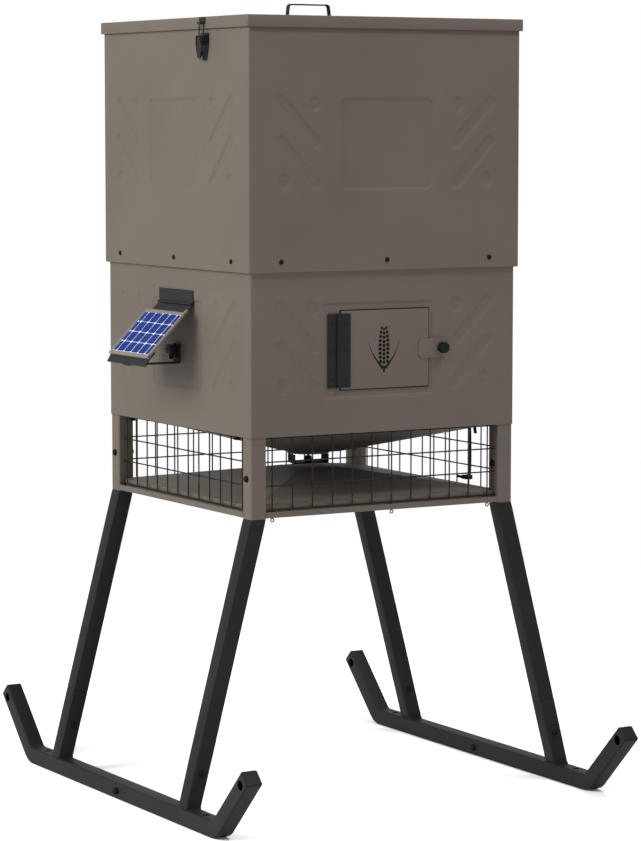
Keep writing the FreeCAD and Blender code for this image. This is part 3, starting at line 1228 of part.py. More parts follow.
def guards():
    fixed = "(guard_reach + 0.2)"
    guard("guard_front", "0", fixed, True)
    guard("guard_right", "90", "(guard_reach - 4)")
    guard("guard_back", "180", fixed)
    guard("guard_left", "270", fixed)
    clips = []
    for side in (-1, 1):
        half = "clip_size / 2"
        y = "%d * clip_y" % side
        top = "guard_low_z + 3 * mesh_rise"
        block = box("clip_block%d" % side, ("-post_face + guard_in - 5.4", y + " - " + half,
                                            top + " - clip_size + 4"),
                    ("-post_face + guard_in + 6", y + " + " + half, "pan_z"))
        slot_hole = rod("clip_slot%d" % side, ("-post_face + guard_in + wire - weld",
                                               y + " - clip_size", top), "Y", "wire / 2 + 0.3",
                        "2 * clip_size")
        clips.append(cut("clip%d" % side, block, slot_hole))
    group("guard_clips", clips)
    pivots = []
    for side in (-1, 1):
        y = "%d * pivot_clip_y" % side
        half = "pivot_clip / 2"
        x = "post_face - guard_in"
        block = box("pivot_block%d" % side, (x + " - 4.5", y + " - " + half,
                                             "rail_low + rail_sheet"),
                    (x + " + 4.5", y + " + " + half, "guard_low_z + 4.5"))
        bore = rod("pivot_bore%d" % side, (x, y + " - pivot_clip", "guard_low_z"), "Y",
                   "wire / 2 + run_gap", "2 * pivot_clip")
        pivots.append(cut("pivot%d" % side, block, bore))
    group("guard_pivot_clips", pivots)


def strap_latch():
    """A rubber strap from a bracket on the right guard to a fork under the shell."""
    strap_anchor()
    rubber_strap()
    strap_fork()


def paired(side, near, far):
    """The low and high y of one of two mirrored blocks beside the strap."""
    inner = "strap_y + %d * (%s)" % (side, near)
    outer = "strap_y + %d * (%s)" % (side, far)
    return (outer, inner) if side < 0 else (inner, outer)


def strap_anchor():
    skin = "(post_face - guard_in + wire / 2 + 0.05)"
    wide, tall = "anchor_wide / 2", "anchor_tall / 2"
    blocks = [box("anchor_plate", (skin, "strap_y - " + wide, "strap_pin_z - " + tall),
                  (skin + " + leaf", "strap_y + " + wide, "strap_pin_z + " + tall))]
    for side in (-1, 1):
        low, high = paired(side, "strap_width / 2 + 0.4", "strap_width / 2 + 0.4 + leaf")
        blocks.append(box("anchor_ear%d" % side, (skin, low, "strap_pin_z - strap_pin"),
                          ("strap_x + strap_pin", high, "strap_pin_z + strap_pin")))
    blocks.append(rod("anchor_pin", ("strap_x", "strap_y - strap_width / 2 - leaf - 1",
                                     "strap_pin_z"), "Y", "strap_pin / 2",
                      "strap_width + 2 * leaf + 2"))
    label(fuse("strap_anchor", blocks), "strap_anchor")


def rubber_strap():
    """The strap: an eye, a flat band, a T head over the fork and a grip that curls out."""
    half = "strap_width / 2"
    low, high = "strap_y - " + half, "strap_y + " + half
    head_z = "(fork_z + fork_thick + 0.3)"
    eye = rod("strap_ring", ("strap_x", low, "strap_pin_z"), "Y", "strap_eye / 2", "strap_width")
    band = box("strap_band", ("strap_x - strap_rubber / 2", low, "strap_pin_z"),
               ("strap_x + strap_rubber / 2", high, head_z + " + 1"))
    head = box("strap_top", ("strap_x - strap_head_thick / 2", "strap_y - strap_head / 2", head_z),
               ("strap_x + strap_head_thick / 2", "strap_y + strap_head / 2",
                head_z + " + strap_head_tall"))
    over = head_z + " + strap_head_tall - grip_thick"
    grip = box("strap_grip", ("strap_x", low, over),
               ("strap_x + grip_out", high, over + " + grip_thick"))
    tail = box("strap_tail", ("strap_x + grip_out - grip_thick", low, over + " - grip_drop"),
               ("strap_x + grip_out", high, over + " + grip_thick"))
    hole = rod("strap_hole", ("strap_x", low + " - 1", "strap_pin_z"), "Y",
               "strap_pin / 2 + run_gap", "strap_width + 2")
    mass = fuse("strap_mass", [eye, band, head, grip, tail])
    label(cut("rubber_strap", mass, hole), "rubber_strap")


def strap_fork():
    """The keeper: a plate with a window for the strap's head, and two prongs under it."""
    wall = "lower_width / 2"
    half, gap = "fork_window / 2", "fork_slot / 2"
    plate = box("fork_plate", (wall, "strap_y - fork_wide / 2", "fork_z"),
                (wall + " + fork_thick", "strap_y + fork_wide / 2", "fork_z + fork_tall"))
    window = box("fork_hole", (wall + " - 1", "strap_y - " + half, "fork_z + fork_thick"),
                 (wall + " + fork_thick + 1", "strap_y + " + half,
                  "fork_z + fork_thick + fork_window_tall"))
    notch = box("fork_notch", (wall + " - 1", "strap_y - " + gap, "fork_z - 1"),
                (wall + " + fork_reach + 1", "strap_y + " + gap, "fork_z + fork_thick + 1"))
    blocks = [plate]
    for side in (-1, 1):
        low, high = paired(side, "fork_slot / 2", "fork_wide / 2")
        blocks.append(box("fork_prong%d" % side, (wall, low, "fork_z"),
                          (wall + " + fork_reach", high, "fork_z + fork_thick")))
    label(cut("strap_fork", fuse("fork_mass", blocks), fuse("fork_voids", [window, notch])),
          "strap_fork")


# ---------------------------------------------------------------- build and write
def check_document():
    """Stop if any object failed or any sub-part's shape is null or invalid."""
    for item in doc.Objects:
        if "Invalid" in item.State or "Error" in item.State:
            raise RuntimeError("%s failed: %s" % (item.Name, item.State))
    for item in SUBPARTS:
        if item.Shape.isNull() or not item.Shape.isValid():
            raise RuntimeError("%s has no valid shape" % item.Label)


def write_parts():
    os.makedirs("parts", exist_ok=True)
    for item in SUBPARTS:
        item.Shape.exportStep(os.path.join("parts", item.Label + ".step"))
    print(len(SUBPARTS), "sub-parts written")


fill_sheet()
frame_parts()
hopper_parts()
drive_parts()
lid_parts()
lid_hinges()
latch_parts()
door_parts()
control_box()
solar_parts()
rails()
tray()
guards()
strap_latch()
doc.recompute()
check_document()
write_parts()
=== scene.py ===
import json
import math

import bmesh
import bpy
import numpy as np
from mathutils import Matrix, Vector


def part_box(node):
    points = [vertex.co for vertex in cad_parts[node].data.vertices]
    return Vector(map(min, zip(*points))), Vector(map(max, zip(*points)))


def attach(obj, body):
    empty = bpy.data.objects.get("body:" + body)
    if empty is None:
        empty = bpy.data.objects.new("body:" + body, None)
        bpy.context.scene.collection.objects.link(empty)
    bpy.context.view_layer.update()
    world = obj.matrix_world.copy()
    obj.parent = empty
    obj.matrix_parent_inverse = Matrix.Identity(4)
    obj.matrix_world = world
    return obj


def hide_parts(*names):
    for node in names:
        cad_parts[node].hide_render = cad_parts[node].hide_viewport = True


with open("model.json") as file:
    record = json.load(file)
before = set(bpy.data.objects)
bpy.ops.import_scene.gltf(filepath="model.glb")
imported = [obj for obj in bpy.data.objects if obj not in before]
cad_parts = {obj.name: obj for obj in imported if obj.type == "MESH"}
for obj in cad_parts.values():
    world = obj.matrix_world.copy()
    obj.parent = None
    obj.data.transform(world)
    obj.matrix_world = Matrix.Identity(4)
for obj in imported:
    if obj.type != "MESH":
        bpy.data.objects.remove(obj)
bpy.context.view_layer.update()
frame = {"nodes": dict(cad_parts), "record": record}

MM = 0.001
NODES = frame["nodes"]

# Sizes in millimetres that more than one piece shares.
UPPER_HALF, LOWER_HALF = 348.0, 340.5      # half widths of the two shells
UPPER_MIDDLE = 1472.0                      # height of the upper pressed pattern's centre
LOWER_MIDDLE = 1026.0                      # and of the lower one's
TUBE = 38.1                                # square tube of posts, legs and skids
POST = 319.4                               # post centre from the middle, in x and y
LEG_TOP, STUB_TOP = 659.8, 194.0           # heights where a leg begins and meets its socket
SLOPE = 0.262                              # how far a leg runs outwards per unit of drop
SKID_X = 482.3                             # skid centre from the middle
SKID_BEND = 60.0                           # radius outside the skid's rolled bend
ARM_Y, ARM_Z = 471.8, 140.0                # start and rise of the skid's upturned arm
ARM_END_Y = ARM_Y + ARM_Z - TUBE / (2 * math.sqrt(2))
ARM_END_Z = ARM_Z + TUBE / (2 * math.sqrt(2))

# Edges that turn by less than this many degrees are shaded smooth.
SMOOTH, SHEET_SMOOTH = 35, 40


# ---------------------------------------------------------------- camera, light, floor
def add_camera():
    """The photo's view, fitted to points measured on it."""
    camera = bpy.data.objects.new("camera", bpy.data.cameras.new("camera"))
    bpy.context.scene.collection.objects.link(camera)
    camera.location = (-3.5865, -6.2160, 1.5197)
    camera.rotation_euler = (math.radians(90 - 5.477), 0, math.radians(-30.03))
    camera.data.sensor_width = 36
    camera.data.lens = 133.56
    camera.data.shift_x = 0.01155
    camera.data.shift_y = 0.00086
    camera.data.clip_end = 100
    bpy.context.scene.camera = camera


def add_area(name, place, target, size, power, color=(1, 1, 1)):
    """A round area light at a place, aimed at a target."""
    light = bpy.data.objects.new(name, bpy.data.lights.new(name, "AREA"))
    bpy.context.scene.collection.objects.link(light)
    light.location = place
    aim = Vector(target) - Vector(place)
    light.rotation_euler = aim.to_track_quat("-Z", "Y").to_euler()
    light.data.shape = "DISK"
    light.data.size = size
    light.data.energy = power
    light.data.color = color


def add_stage():
    """White surroundings, three soft lights and a round floor."""
    world = bpy.data.worlds.new("studio")
    bpy.context.scene.world = world
    world.use_nodes = True
    sky = world.node_tree.nodes["Background"]
    sky.inputs["Color"].default_value = (1, 1, 1, 1)
    sky.inputs["Strength"].default_value = 1.0
    add_area("key", (-6.4, 0.2, 4.2), (0, 0, 1.1), 4.4, 960, (0.98, 1.04, 0.98))
    add_area("grazing", (1.6, -2.5, 5.5), (0, 0, 1.2), 1.0, 232)
    add_area("low_fill", (-0.6, -6.0, 0.4), (0, 0, 0.70), 2.0, 70)
    view = bpy.context.scene.view_settings
    view.view_transform = "Standard"
    view.look = "None"
    bm = bmesh.new()
    steps = 64
    rings = []
    for radius in (1.2, 2.4, 3.6):
        rings.append([bm.verts.new((radius * math.cos(turn), radius * math.sin(turn), 0))
                      for turn in np.linspace(0, 2 * math.pi, steps, endpoint=False)])
    bm.faces.new(rings[0])
    for inner, outer in zip(rings, rings[1:]):
        for k in range(steps):
            following = (k + 1) % steps
            bm.faces.new((inner[k], outer[k], outer[following], inner[following]))
    floor = mesh_object("floor", bm)
    floor.data.materials.append(pale_floor())


# ---------------------------------------------------------------- materials
def shader(name):
    """A new material with its node tree and its surface node."""
    material = bpy.data.materials.new(name)
    material.use_nodes = True
    tree = material.node_tree
    return material, tree, tree.nodes["Principled BSDF"]


def noise(tree, scale, detail=2.0, rough=0.5, stretch=(1, 1, 1)):
    """Procedural noise fixed to the object."""
    coords = tree.nodes.new("ShaderNodeTexCoord")
    mapping = tree.nodes.new("ShaderNodeMapping")
    mapping.inputs["Scale"].default_value = stretch
    texture = tree.nodes.new("ShaderNodeTexNoise")
    texture.inputs["Scale"].default_value = scale
    texture.inputs["Detail"].default_value = detail
    texture.inputs["Roughness"].default_value = rough
    tree.links.new(coords.outputs["Object"], mapping.inputs["Vector"])
    tree.links.new(mapping.outputs["Vector"], texture.inputs["Vector"])
    return texture.outputs["Fac"]


def ramp(tree, fac, stops):
    """A factor turned into a color through (position, color) stops."""
    node = tree.nodes.new("ShaderNodeValToRGB")
    while len(node.color_ramp.elements) < len(stops):
        node.color_ramp.elements.new(0.5)
    for element, (where, color) in zip(node.color_ramp.elements, stops):
        element.position = where
        element.color = (*color, 1)
    tree.links.new(fac, node.inputs["Fac"])
    return node.outputs["Color"]


def spread(tree, fac, low, high):
    """A factor from 0 to 1 spread between two values."""
    node = tree.nodes.new("ShaderNodeMapRange")
    node.inputs["To Min"].default_value = low
    node.inputs["To Max"].default_value = high
    tree.links.new(fac, node.inputs["Value"])
    return node.outputs["Result"]


def bump(tree, height, distance, strength=1.0, below=None):
    """A bump from a height factor, on top of the bump below it."""
    node = tree.nodes.new("ShaderNodeBump")
    node.inputs["Distance"].default_value = distance
    node.inputs["Strength"].default_value = strength
    tree.links.new(height, node.inputs["Height"])
    if below is not None:
        tree.links.new(below, node.inputs["Normal"])
    return node.outputs["Normal"]


def shade(color, factor):
    """A color made lighter or darker."""
    return tuple(min(1.0, channel * factor) for channel in color)


def powder_coat(name, color, rough, grain=0.0012, mottle=0.05, specular=0.12):
    """Textured powder coat: a fine wrinkle, faint orange peel and slow colour drift."""
    material, tree, bsdf = shader(name)
    slow = noise(tree, 5.0, 3.0)
    color_out = ramp(tree, slow, [(0.3, shade(color, 1 - mottle)), (0.7, shade(color, 1 + mottle))])
    tree.links.new(color_out, bsdf.inputs["Base Color"])
    fine = noise(tree, 1 / grain, 3.0, 0.6)
    peel = noise(tree, 90.0, 1.0)
    tree.links.new(spread(tree, fine, rough - 0.08, rough + 0.08), bsdf.inputs["Roughness"])
    wrinkle = bump(tree, noise(tree, 110.0, 2.0), 0.0022, 0.17)
    rolling = bump(tree, peel, 0.0006, 0.12, wrinkle)
    tree.links.new(bump(tree, fine, 0.0001, 0.6, rolling), bsdf.inputs["Normal"])
    bsdf.inputs["Specular IOR Level"].default_value = specular
    return material


def bare_metal(name, color, rough, stretch=(1, 1, 1), grain=700.0, metallic=1.0):
    """Plated or mill-finish steel: fine directional grain and slightly uneven gloss."""
    material, tree, bsdf = shader(name)
    grain_out = noise(tree, grain, 2.0, 0.6, stretch)
    slow = noise(tree, 14.0, 3.0)
    color_out = ramp(tree, slow, [(0.3, shade(color, 0.82)), (0.7, shade(color, 1.1))])
    tree.links.new(color_out, bsdf.inputs["Base Color"])
    tree.links.new(spread(tree, grain_out, rough - 0.1, rough + 0.12), bsdf.inputs["Roughness"])
    tree.links.new(bump(tree, grain_out, 0.00005, 0.4), bsdf.inputs["Normal"])
    bsdf.inputs["Metallic"].default_value = metallic
    bsdf.inputs["Specular IOR Level"].default_value = 0.06
    return material


def moulded(name, color, rough):
    """Moulded plastic or rubber with a fine spark-eroded grain."""
    material, tree, bsdf = shader(name)
    fine = noise(tree, 1500.0, 2.0)
    slow = noise(tree, 20.0, 2.0)
    color_out = ramp(tree, slow, [(0.35, shade(color, 0.9)), (0.65, shade(color, 1.12))])
    tree.links.new(color_out, bsdf.inputs["Base Color"])
    tree.links.new(spread(tree, fine, rough - 0.06, rough + 0.08), bsdf.inputs["Roughness"])
    tree.links.new(bump(tree, fine, 0.00006, 0.5), bsdf.inputs["Normal"])
    bsdf.inputs["Specular IOR Level"].default_value = 0.05
    return material


def solar_cell(name):
    """Polycrystalline silicon under glass: large flakes of slightly different blue."""
    material, tree, bsdf = shader(name)
    coords = tree.nodes.new("ShaderNodeTexCoord")
    flakes = tree.nodes.new("ShaderNodeTexVoronoi")
    flakes.inputs["Scale"].default_value = 260.0
    tree.links.new(coords.outputs["Object"], flakes.inputs["Vector"])
    gray = tree.nodes.new("ShaderNodeRGBToBW")
    tree.links.new(flakes.outputs["Color"], gray.inputs["Color"])
    color_out = ramp(tree, gray.outputs["Val"],
                     [(0.2, (0.0012, 0.0065, 0.056)), (0.8, (0.003, 0.013, 0.110))])
    tree.links.new(color_out, bsdf.inputs["Base Color"])
    smear = noise(tree, 60.0, 2.0)
    tree.links.new(spread(tree, smear, 0.28, 0.40), bsdf.inputs["Roughness"])
    bsdf.inputs["Specular IOR Level"].default_value = 0.03
    return material


def pale_floor():
    """A matt near-white floor with a very faint mottle."""
    material, tree, bsdf = shader("pale_floor")
    speckle = noise(tree, 3.0, 2.0)
    color_out = ramp(tree, speckle, [(0.3, (0.72, 0.72, 0.72)), (0.7, (0.75, 0.75, 0.75))])
    tree.links.new(color_out, bsdf.inputs["Base Color"])
    bsdf.inputs["Roughness"].default_value = 0.9
    bsdf.inputs["Specular IOR Level"].default_value = 0.1
    return material


def lcd_glass(name):
    """The grey-green glass of an unlit liquid crystal display."""
    material, tree, bsdf = shader(name)
    faint = noise(tree, 400.0, 1.0)
    color_out = ramp(tree, faint, [(0.3, (0.16, 0.19, 0.14)), (0.7, (0.20, 0.23, 0.17))])
    tree.links.new(color_out, bsdf.inputs["Base Color"])
    bsdf.inputs["Roughness"].default_value = 0.12
    return material


MATERIALS = {
    "tan_paint": powder_coat("tan_paint", (0.062, 0.0505, 0.0425), 0.55),
    "charcoal_paint": powder_coat("charcoal_paint", (0.0085, 0.0085, 0.0085), 0.50,
                                  mottle=0.08, specular=0.05),
    "bracket_paint": powder_coat("bracket_paint", (0.010, 0.010, 0.0105), 0.50,
                                 mottle=0.08, specular=0.05),
    "black_wire": powder_coat("black_wire", (0.006, 0.005, 0.0045), 0.42, 0.002),
    "zinc_steel": bare_metal("zinc_steel", (0.0085, 0.008, 0.0075), 0.45, (1, 1, 0.08),
                             metallic=0.12),
    "dark_steel": powder_coat("dark_steel", (0.006, 0.0055, 0.005), 0.60, specular=0.02),
    "galvanised": bare_metal("galvanised", (0.42, 0.43, 0.44), 0.45, grain=90.0),
    "black_rubber": moulded("black_rubber", (0.005, 0.005, 0.0055), 0.62),
    "black_plastic": moulded("black_plastic", (0.006, 0.0055, 0.0055), 0.45),
    "grey_plastic": moulded("grey_plastic", (0.075, 0.078, 0.082), 0.38),
    "solar_glass": solar_cell("solar_glass"),
    "panel_frame": powder_coat("panel_frame", (0.100, 0.084, 0.070), 0.42, mottle=0.03),
    "cell_lines": bare_metal("cell_lines", (0.42, 0.47, 0.62), 0.35, metallic=0.1),
    "lcd": lcd_glass("lcd"),
    "emblem_ink": moulded("emblem_ink", (0.003, 0.003, 0.003), 0.6),
}


# ---------------------------------------------------------------- mesh helpers
def mesh_object(name, bm, smooth_angle=None):
    """A new object from a bmesh, smooth up to an angle in degrees where one is given."""
    bm.normal_update()
    mesh = bpy.data.meshes.new(name)
    bm.to_mesh(mesh)
    bm.free()
    piece = bpy.data.objects.new(name, mesh)
    bpy.context.scene.collection.objects.link(piece)
    if smooth_angle is not None:
        mesh.shade_smooth()
        mesh.set_sharp_from_angle(angle=math.radians(smooth_angle))
    return piece


def settle(name, bm, body, slot, nodes=(), material=None):
    """Finish a piece: mesh, material, the body it rides on and the nodes it stands for."""
    bmesh.ops.recalc_face_normals(bm, faces=bm.faces)
    piece = mesh_object(name, bm, SMOOTH)
    piece.data.materials.append(MATERIALS[material or slot])
    if nodes:
        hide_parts(*nodes)
    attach(piece, body)


def merge(bm, part, matrix=None):
    """Copy one bmesh into another, with an optional transform."""
    if matrix is not None:
        bmesh.ops.transform(part, matrix=matrix, verts=part.verts)
    table = {vert: bm.verts.new(vert.co) for vert in part.verts}
    for face in part.faces:
        bm.faces.new([table[vert] for vert in face.verts])
    part.free()


def block(bm, low, high, edge=0.6, matrix=None):
    """A box in millimetres with rounded edges."""
    part = bmesh.new()
    middle = [(a + b) / 2 * MM for a, b in zip(low, high)]
    sizes = [abs(b - a) * MM for a, b in zip(low, high)]
    frame_matrix = Matrix.Translation(middle) @ Matrix.Diagonal((*sizes, 1))
    bmesh.ops.create_cube(part, size=1.0, matrix=frame_matrix)
    width = min(edge * MM, 0.45 * min(sizes))
    bmesh.ops.bevel(part, geom=part.edges[:], offset=width, segments=3, profile=0.5,
                    affect="EDGES", clamp_overlap=True)
    merge(bm, part, matrix)


def bridge(bm, a, b):
    """Faces between two closed rings of as many vertices."""
    count = len(a)
    for k in range(count):
        bm.faces.new((a[k], a[(k + 1) % count], b[(k + 1) % count], b[k]))


def frames_along(points, closed):
    """Directions and steady side vectors along a path."""
    count = len(points)
    aims = []
    for k in range(count):
        before = points[k - 1] if (k > 0 or closed) else points[k]
        after = points[(k + 1) % count] if (k < count - 1 or closed) else points[k]
        aims.append((after - before).normalized())
    helper = Vector((0, 0, 1)) if abs(aims[0].z) < 0.9 else Vector((1, 0, 0))
    side = aims[0].cross(helper).normalized()
    sides = [side]
    for k in range(1, count):
        side = (side - aims[k] * side.dot(aims[k])).normalized()
        sides.append(side)
    return aims, sides


def tube(bm, path, radius, steps=12, closed=False):
    """A round wire or bead along points in millimetres."""
    points = [Vector(point) * MM for point in path]
    aims, sides = frames_along(points, closed)
    rings = []
    for point, aim, side in zip(points, aims, sides):
        up = aim.cross(side)
        ring = []
        for k in range(steps):
            turn = 2 * math.pi * k / steps
            out = side * math.cos(turn) + up * math.sin(turn)
            ring.append(bm.verts.new(point + out * radius * MM))
        rings.append(ring)
    pairs = list(zip(rings, rings[1:]))
    if closed:
        pairs.append((rings[-1], rings[0]))
    for a, b in pairs:
        bridge(bm, a, b)
    if not closed:
        bm.faces.new(rings[0][::-1])
        bm.faces.new(rings[-1])


AXES = {"X": Matrix.Rotation(math.pi / 2, 4, "Y"), "Y": Matrix.Rotation(-math.pi / 2, 4, "X"),
        "Z": Matrix.Identity(4), "-X": Matrix.Rotation(-math.pi / 2, 4, "Y"),
        "-Y": Matrix.Rotation(math.pi / 2, 4, "X"), "-Z": Matrix.Rotation(math.pi, 4, "X")}


def lathe(bm, place, aim, profile, steps=32, wave=None):
    """Turn a profile of (radius, height) in millimetres about an axis at a place."""
    matrix = Matrix.Translation(Vector(place) * MM) @ AXES[aim]
    rings = []
    for radius, height in profile:
        ring = []
        for k in range(steps):
            turn = 2 * math.pi * k / steps
            local = radius * (wave(turn, height) if wave else 1.0)
            spot = Vector((local * math.cos(turn), local * math.sin(turn), height)) * MM
            ring.append(bm.verts.new(matrix @ spot))
        rings.append(ring)
    for a, b in zip(rings, rings[1:]):
        bridge(bm, a, b)
    bm.faces.new(rings[0][::-1])
    bm.faces.new(rings[-1])


def hexagon(bm, place, aim, across, thick):
    """A hexagon head or nut with chamfered corners, its back at the place."""
    corner = across / math.sqrt(3)
    profile = [(corner, 0.0), (corner, thick * 0.82), (corner * 0.93, thick),
               (corner * 0.6, thick), (corner * 0.58, thick - 0.5), (0.1, thick - 0.5)]

    def wave(turn, height):
        from_flat = turn % (math.pi / 3) - math.pi / 6
        return 1.0 / max(math.cos(from_flat), 0.5) * math.cos(math.pi / 6)

    lathe(bm, place, aim, profile, 36, wave)


def pan_head(bm, place, aim, radius, thick):
    """A domed screw head with a small drive recess and a washer face."""
    profile = [(radius, 0.0), (radius, 0.5), (radius * 0.94, thick * 0.55),
               (radius * 0.72, thick * 0.88), (radius * 0.42, thick), (radius * 0.34, thick),
               (radius * 0.30, thick * 0.45), (0.1, thick * 0.4)]
    lathe(bm, place, aim, profile, 24)


# ---------------------------------------------------------------- hopper shells and lid
def smooth_step(value):
    """Ease from 0 to 1 with level ends."""
    value = np.clip(value, 0, 1)
    return value * value * (3 - 2 * value)


def pressed(distance, soft):
    """Depth share of a stamping from its signed distance, with soft shoulders."""
    return smooth_step(0.5 - distance / soft)


def capsule(u, z, a, b, radius):
    """Signed distance to a slot with round ends at a and b."""
    a, b = np.array(a, float), np.array(b, float)
    run = b - a
    share = np.clip(((u - a[0]) * run[0] + (z - a[1]) * run[1]) / run.dot(run), 0, 1)
    return np.hypot(u - a[0] - share * run[0], z - a[1] - share * run[1]) - radius


def rounded_rect(u, z, middle, size, radius):
    """Signed distance to a rectangle with rounded corners."""
    du = np.abs(u - middle[0]) - size[0] / 2 + radius
    dz = np.abs(z - middle[1]) - size[1] / 2 + radius
    outside = np.hypot(np.maximum(du, 0), np.maximum(dz, 0))
    return outside + np.minimum(np.maximum(du, dz), 0) - radius


def motif(u, z, middle):
    """The pressed pattern on one side: two slanted slots and two dots a half, and a panel."""
    u = np.abs(u)
    z = z - middle
    depth = pressed(rounded_rect(u, z, (0, 0), (236, 196), 12), 5)
    depth = np.maximum(depth, pressed(capsule(u, z, (268, 93), (180, 3), 11.5), 8))
    depth = np.maximum(depth, pressed(capsule(u, z, (268, 6), (180, -87), 11.5), 8))
    depth = np.maximum(depth, pressed(np.hypot(u - 184, z - 87) - 15, 9))
    return np.maximum(depth, pressed(np.hypot(u - 260, z + 80) - 15, 9))


def side_columns(reach, extra=()):
    """Grid lines across one side, close together where the metal is pressed."""
    lines = set(np.round(np.arange(-reach, reach + 0.1, reach / 24), 2))
    for sign in (-1, 1):
        lines |= set(np.round(sign * np.arange(161, 292, 3.0), 2))
        lines |= set(np.round(sign * np.arange(104, 125, 2.0), 2))
    lines |= {float(line) for line in extra}
    kept = []
    for line in sorted(line for line in lines if abs(line) <= reach):
        if kept and line - kept[-1] < 1.0:
            if line in extra:
                kept[-1] = line
            continue
        kept.append(line)
    kept[0], kept[-1] = -reach, reach
    return np.array(kept)


def square_loop(half, corner, lines, bend=6):
    """Points round a rounded square: (side, along, x, y, outward x, outward y)."""
    loop = []
    for side in range(4):
        turn = side * math.pi / 2
        spin = np.array([[math.cos(turn), -math.sin(turn)], [math.sin(turn), math.cos(turn)]])
        for line in lines:
            loop.append((side, line, *(spin @ (line, -half)), *(spin @ (0, -1))))
        for step in range(1, bend):
            angle = -math.pi / 2 + math.pi / 2 * step / bend
            out = np.array([math.cos(angle), math.sin(angle)])
            spot = np.array([half - corner, corner - half]) + out * corner
            loop.append((side, None, *(spin @ spot), *(spin @ out)))
    return loop


def pressed_shell(half, corner, rows, depth_of, hole=None, top=False):
    """Sheet formed round a square; rows are (outward offset, height) in millimetres."""
    extra = (hole[0], hole[2]) if hole else ()
    loop = square_loop(half, corner, side_columns(half - corner, extra))
    bm = bmesh.new()
    count = len(loop)
    grid = []
    for offset, height in rows:
        ring = []
        # Further in than the corner's radius, the square has sharp corners.
        reach = half + offset if offset < -corner else 2 * half
        for side, line, x, y, out_x, out_y in loop:
            push = offset
            if line is not None:
                push -= depth_of(side, line, height)
            spot_x = max(-reach, min(reach, x + out_x * push))
            spot_y = max(-reach, min(reach, y + out_y * push))
            ring.append(bm.verts.new((spot_x * MM, spot_y * MM, height * MM)))
        grid.append(ring)
    for row, (a, b) in enumerate(zip(grid, grid[1:])):
        middle = (rows[row][1] + rows[row + 1][1]) / 2
        for k in range(count):
            following = (k + 1) % count
            side, line = loop[k][0], loop[k][1]
            if hole and side == 0 and line is not None and loop[following][1] is not None:
                across = (line + loop[following][1]) / 2
                if hole[0] < across < hole[2] and hole[1] < middle < hole[3]:
                    continue
            bm.faces.new((a[k], a[following], b[following], b[k]))
    if top:
        bm.faces.new(grid[-1])
    bmesh.ops.remove_doubles(bm, verts=bm.verts, dist=0.01 * MM)
    return bm


def shell_rows(low, high, middle, extra=()):
    """Grid heights up a wall, close together where the metal is pressed."""
    heights = set(np.round(np.linspace(low, high, 22), 2))
    heights |= set(np.round(np.arange(middle - 108, middle + 114, 3.0), 2))
    heights |= {float(value) for value in extra}
    kept = []
    for height in sorted(value for value in heights if low <= value <= high):
        if kept and height - kept[-1] < 1.0:
            if height in extra:
                kept[-1] = height
            continue
        kept.append(height)
    kept[0], kept[-1] = low, high
    return kept


def shell_piece(name, bm, thick, slot, node, body):
    """Give a formed sheet its thickness, material, body and node."""
    piece = mesh_object(name, bm, SHEET_SMOOTH)
    piece.data.materials.append(MATERIALS[slot])
    solid = piece.modifiers.new("sheet", "SOLIDIFY")
    solid.thickness = thick * MM
    solid.offset = -1
    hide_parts(node)
    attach(piece, body)


def hopper():
    """The two pressed shells, the lower one stepped out to nest in the upper one."""
    corner, sheet = 5.0, 2.0
    upper_stamp, lower_stamp = 3.0, 2.6
    low, high = (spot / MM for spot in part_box("upper_shell"))
    bottom, top = low.z, high.z

    def upper_depth(side, line, height):
        return upper_stamp * float(motif(line, height, UPPER_MIDDLE))

    rows = [(-0.5, bottom), (0.0, bottom + 0.6)]
    rows += [(0.0, z) for z in shell_rows(bottom + 2, top - 2, UPPER_MIDDLE)]
    rows += [(-0.3, top - 0.9), (-1.0, top - 0.2), (-2.0, top), (-14.0, top)]
    bm = pressed_shell(UPPER_HALF, corner, rows, upper_depth)
    shell_piece("hopper_upper", bm, sheet, "tan_paint", "upper_shell", "hopper")

    # Lowest x and z, highest x and z of the opening behind the door.
    doorway = (-101.8, 946.5, 100.0, 1095.7)

    def lower_depth(side, line, height):
        depth = float(motif(line, height, LOWER_MIDDLE))
        if side == 0:
            surround = rounded_rect(line, height, (-16.5, 1021.0), (277.0, 206.0), 4)
            depth = max(depth, float(pressed(surround, 3.5)))
        return lower_stamp * depth

    low_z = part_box("lower_shell")[0].z / MM
    edges = (doorway[1], doorway[3], 916.5, 918, 919.5, 1122.5, 1124, 1125.5)
    rows = [(-0.5, low_z), (0.0, low_z + 0.6)]
    rows += [(0.0, z) for z in shell_rows(low_z + 2, bottom - 3, LOWER_MIDDLE, edges)]
    rows += [(0.4, bottom - 1.6), (4.0, bottom - 0.4), (5.1, bottom + 1.0), (5.1, 1238.0)]
    bm = pressed_shell(LOWER_HALF, corner, rows, lower_depth, doorway)
    shell_piece("hopper_lower", bm, sheet, "tan_paint", "lower_shell", "hopper")


def lid():
    """The lid: a shallow square pan with a hemmed bottom edge."""
    low, high = (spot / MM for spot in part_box("lid"))
    bottom, top, half = low.z, high.z, high.x
    rows = [(-1.2, bottom + 0.2), (-0.3, bottom), (0.0, bottom + 0.8), (0.0, bottom + 12),
            (0.0, top - 2.0), (-0.25, top - 1.0), (-0.9, top - 0.3), (-2.0, top), (-5.5, top)]
    bm = pressed_shell(half, 6.0, rows, lambda *spot: 0.0, top=True)
    shell_piece("lid_sheet", bm, 1.5, "tan_paint", "lid", "lid")


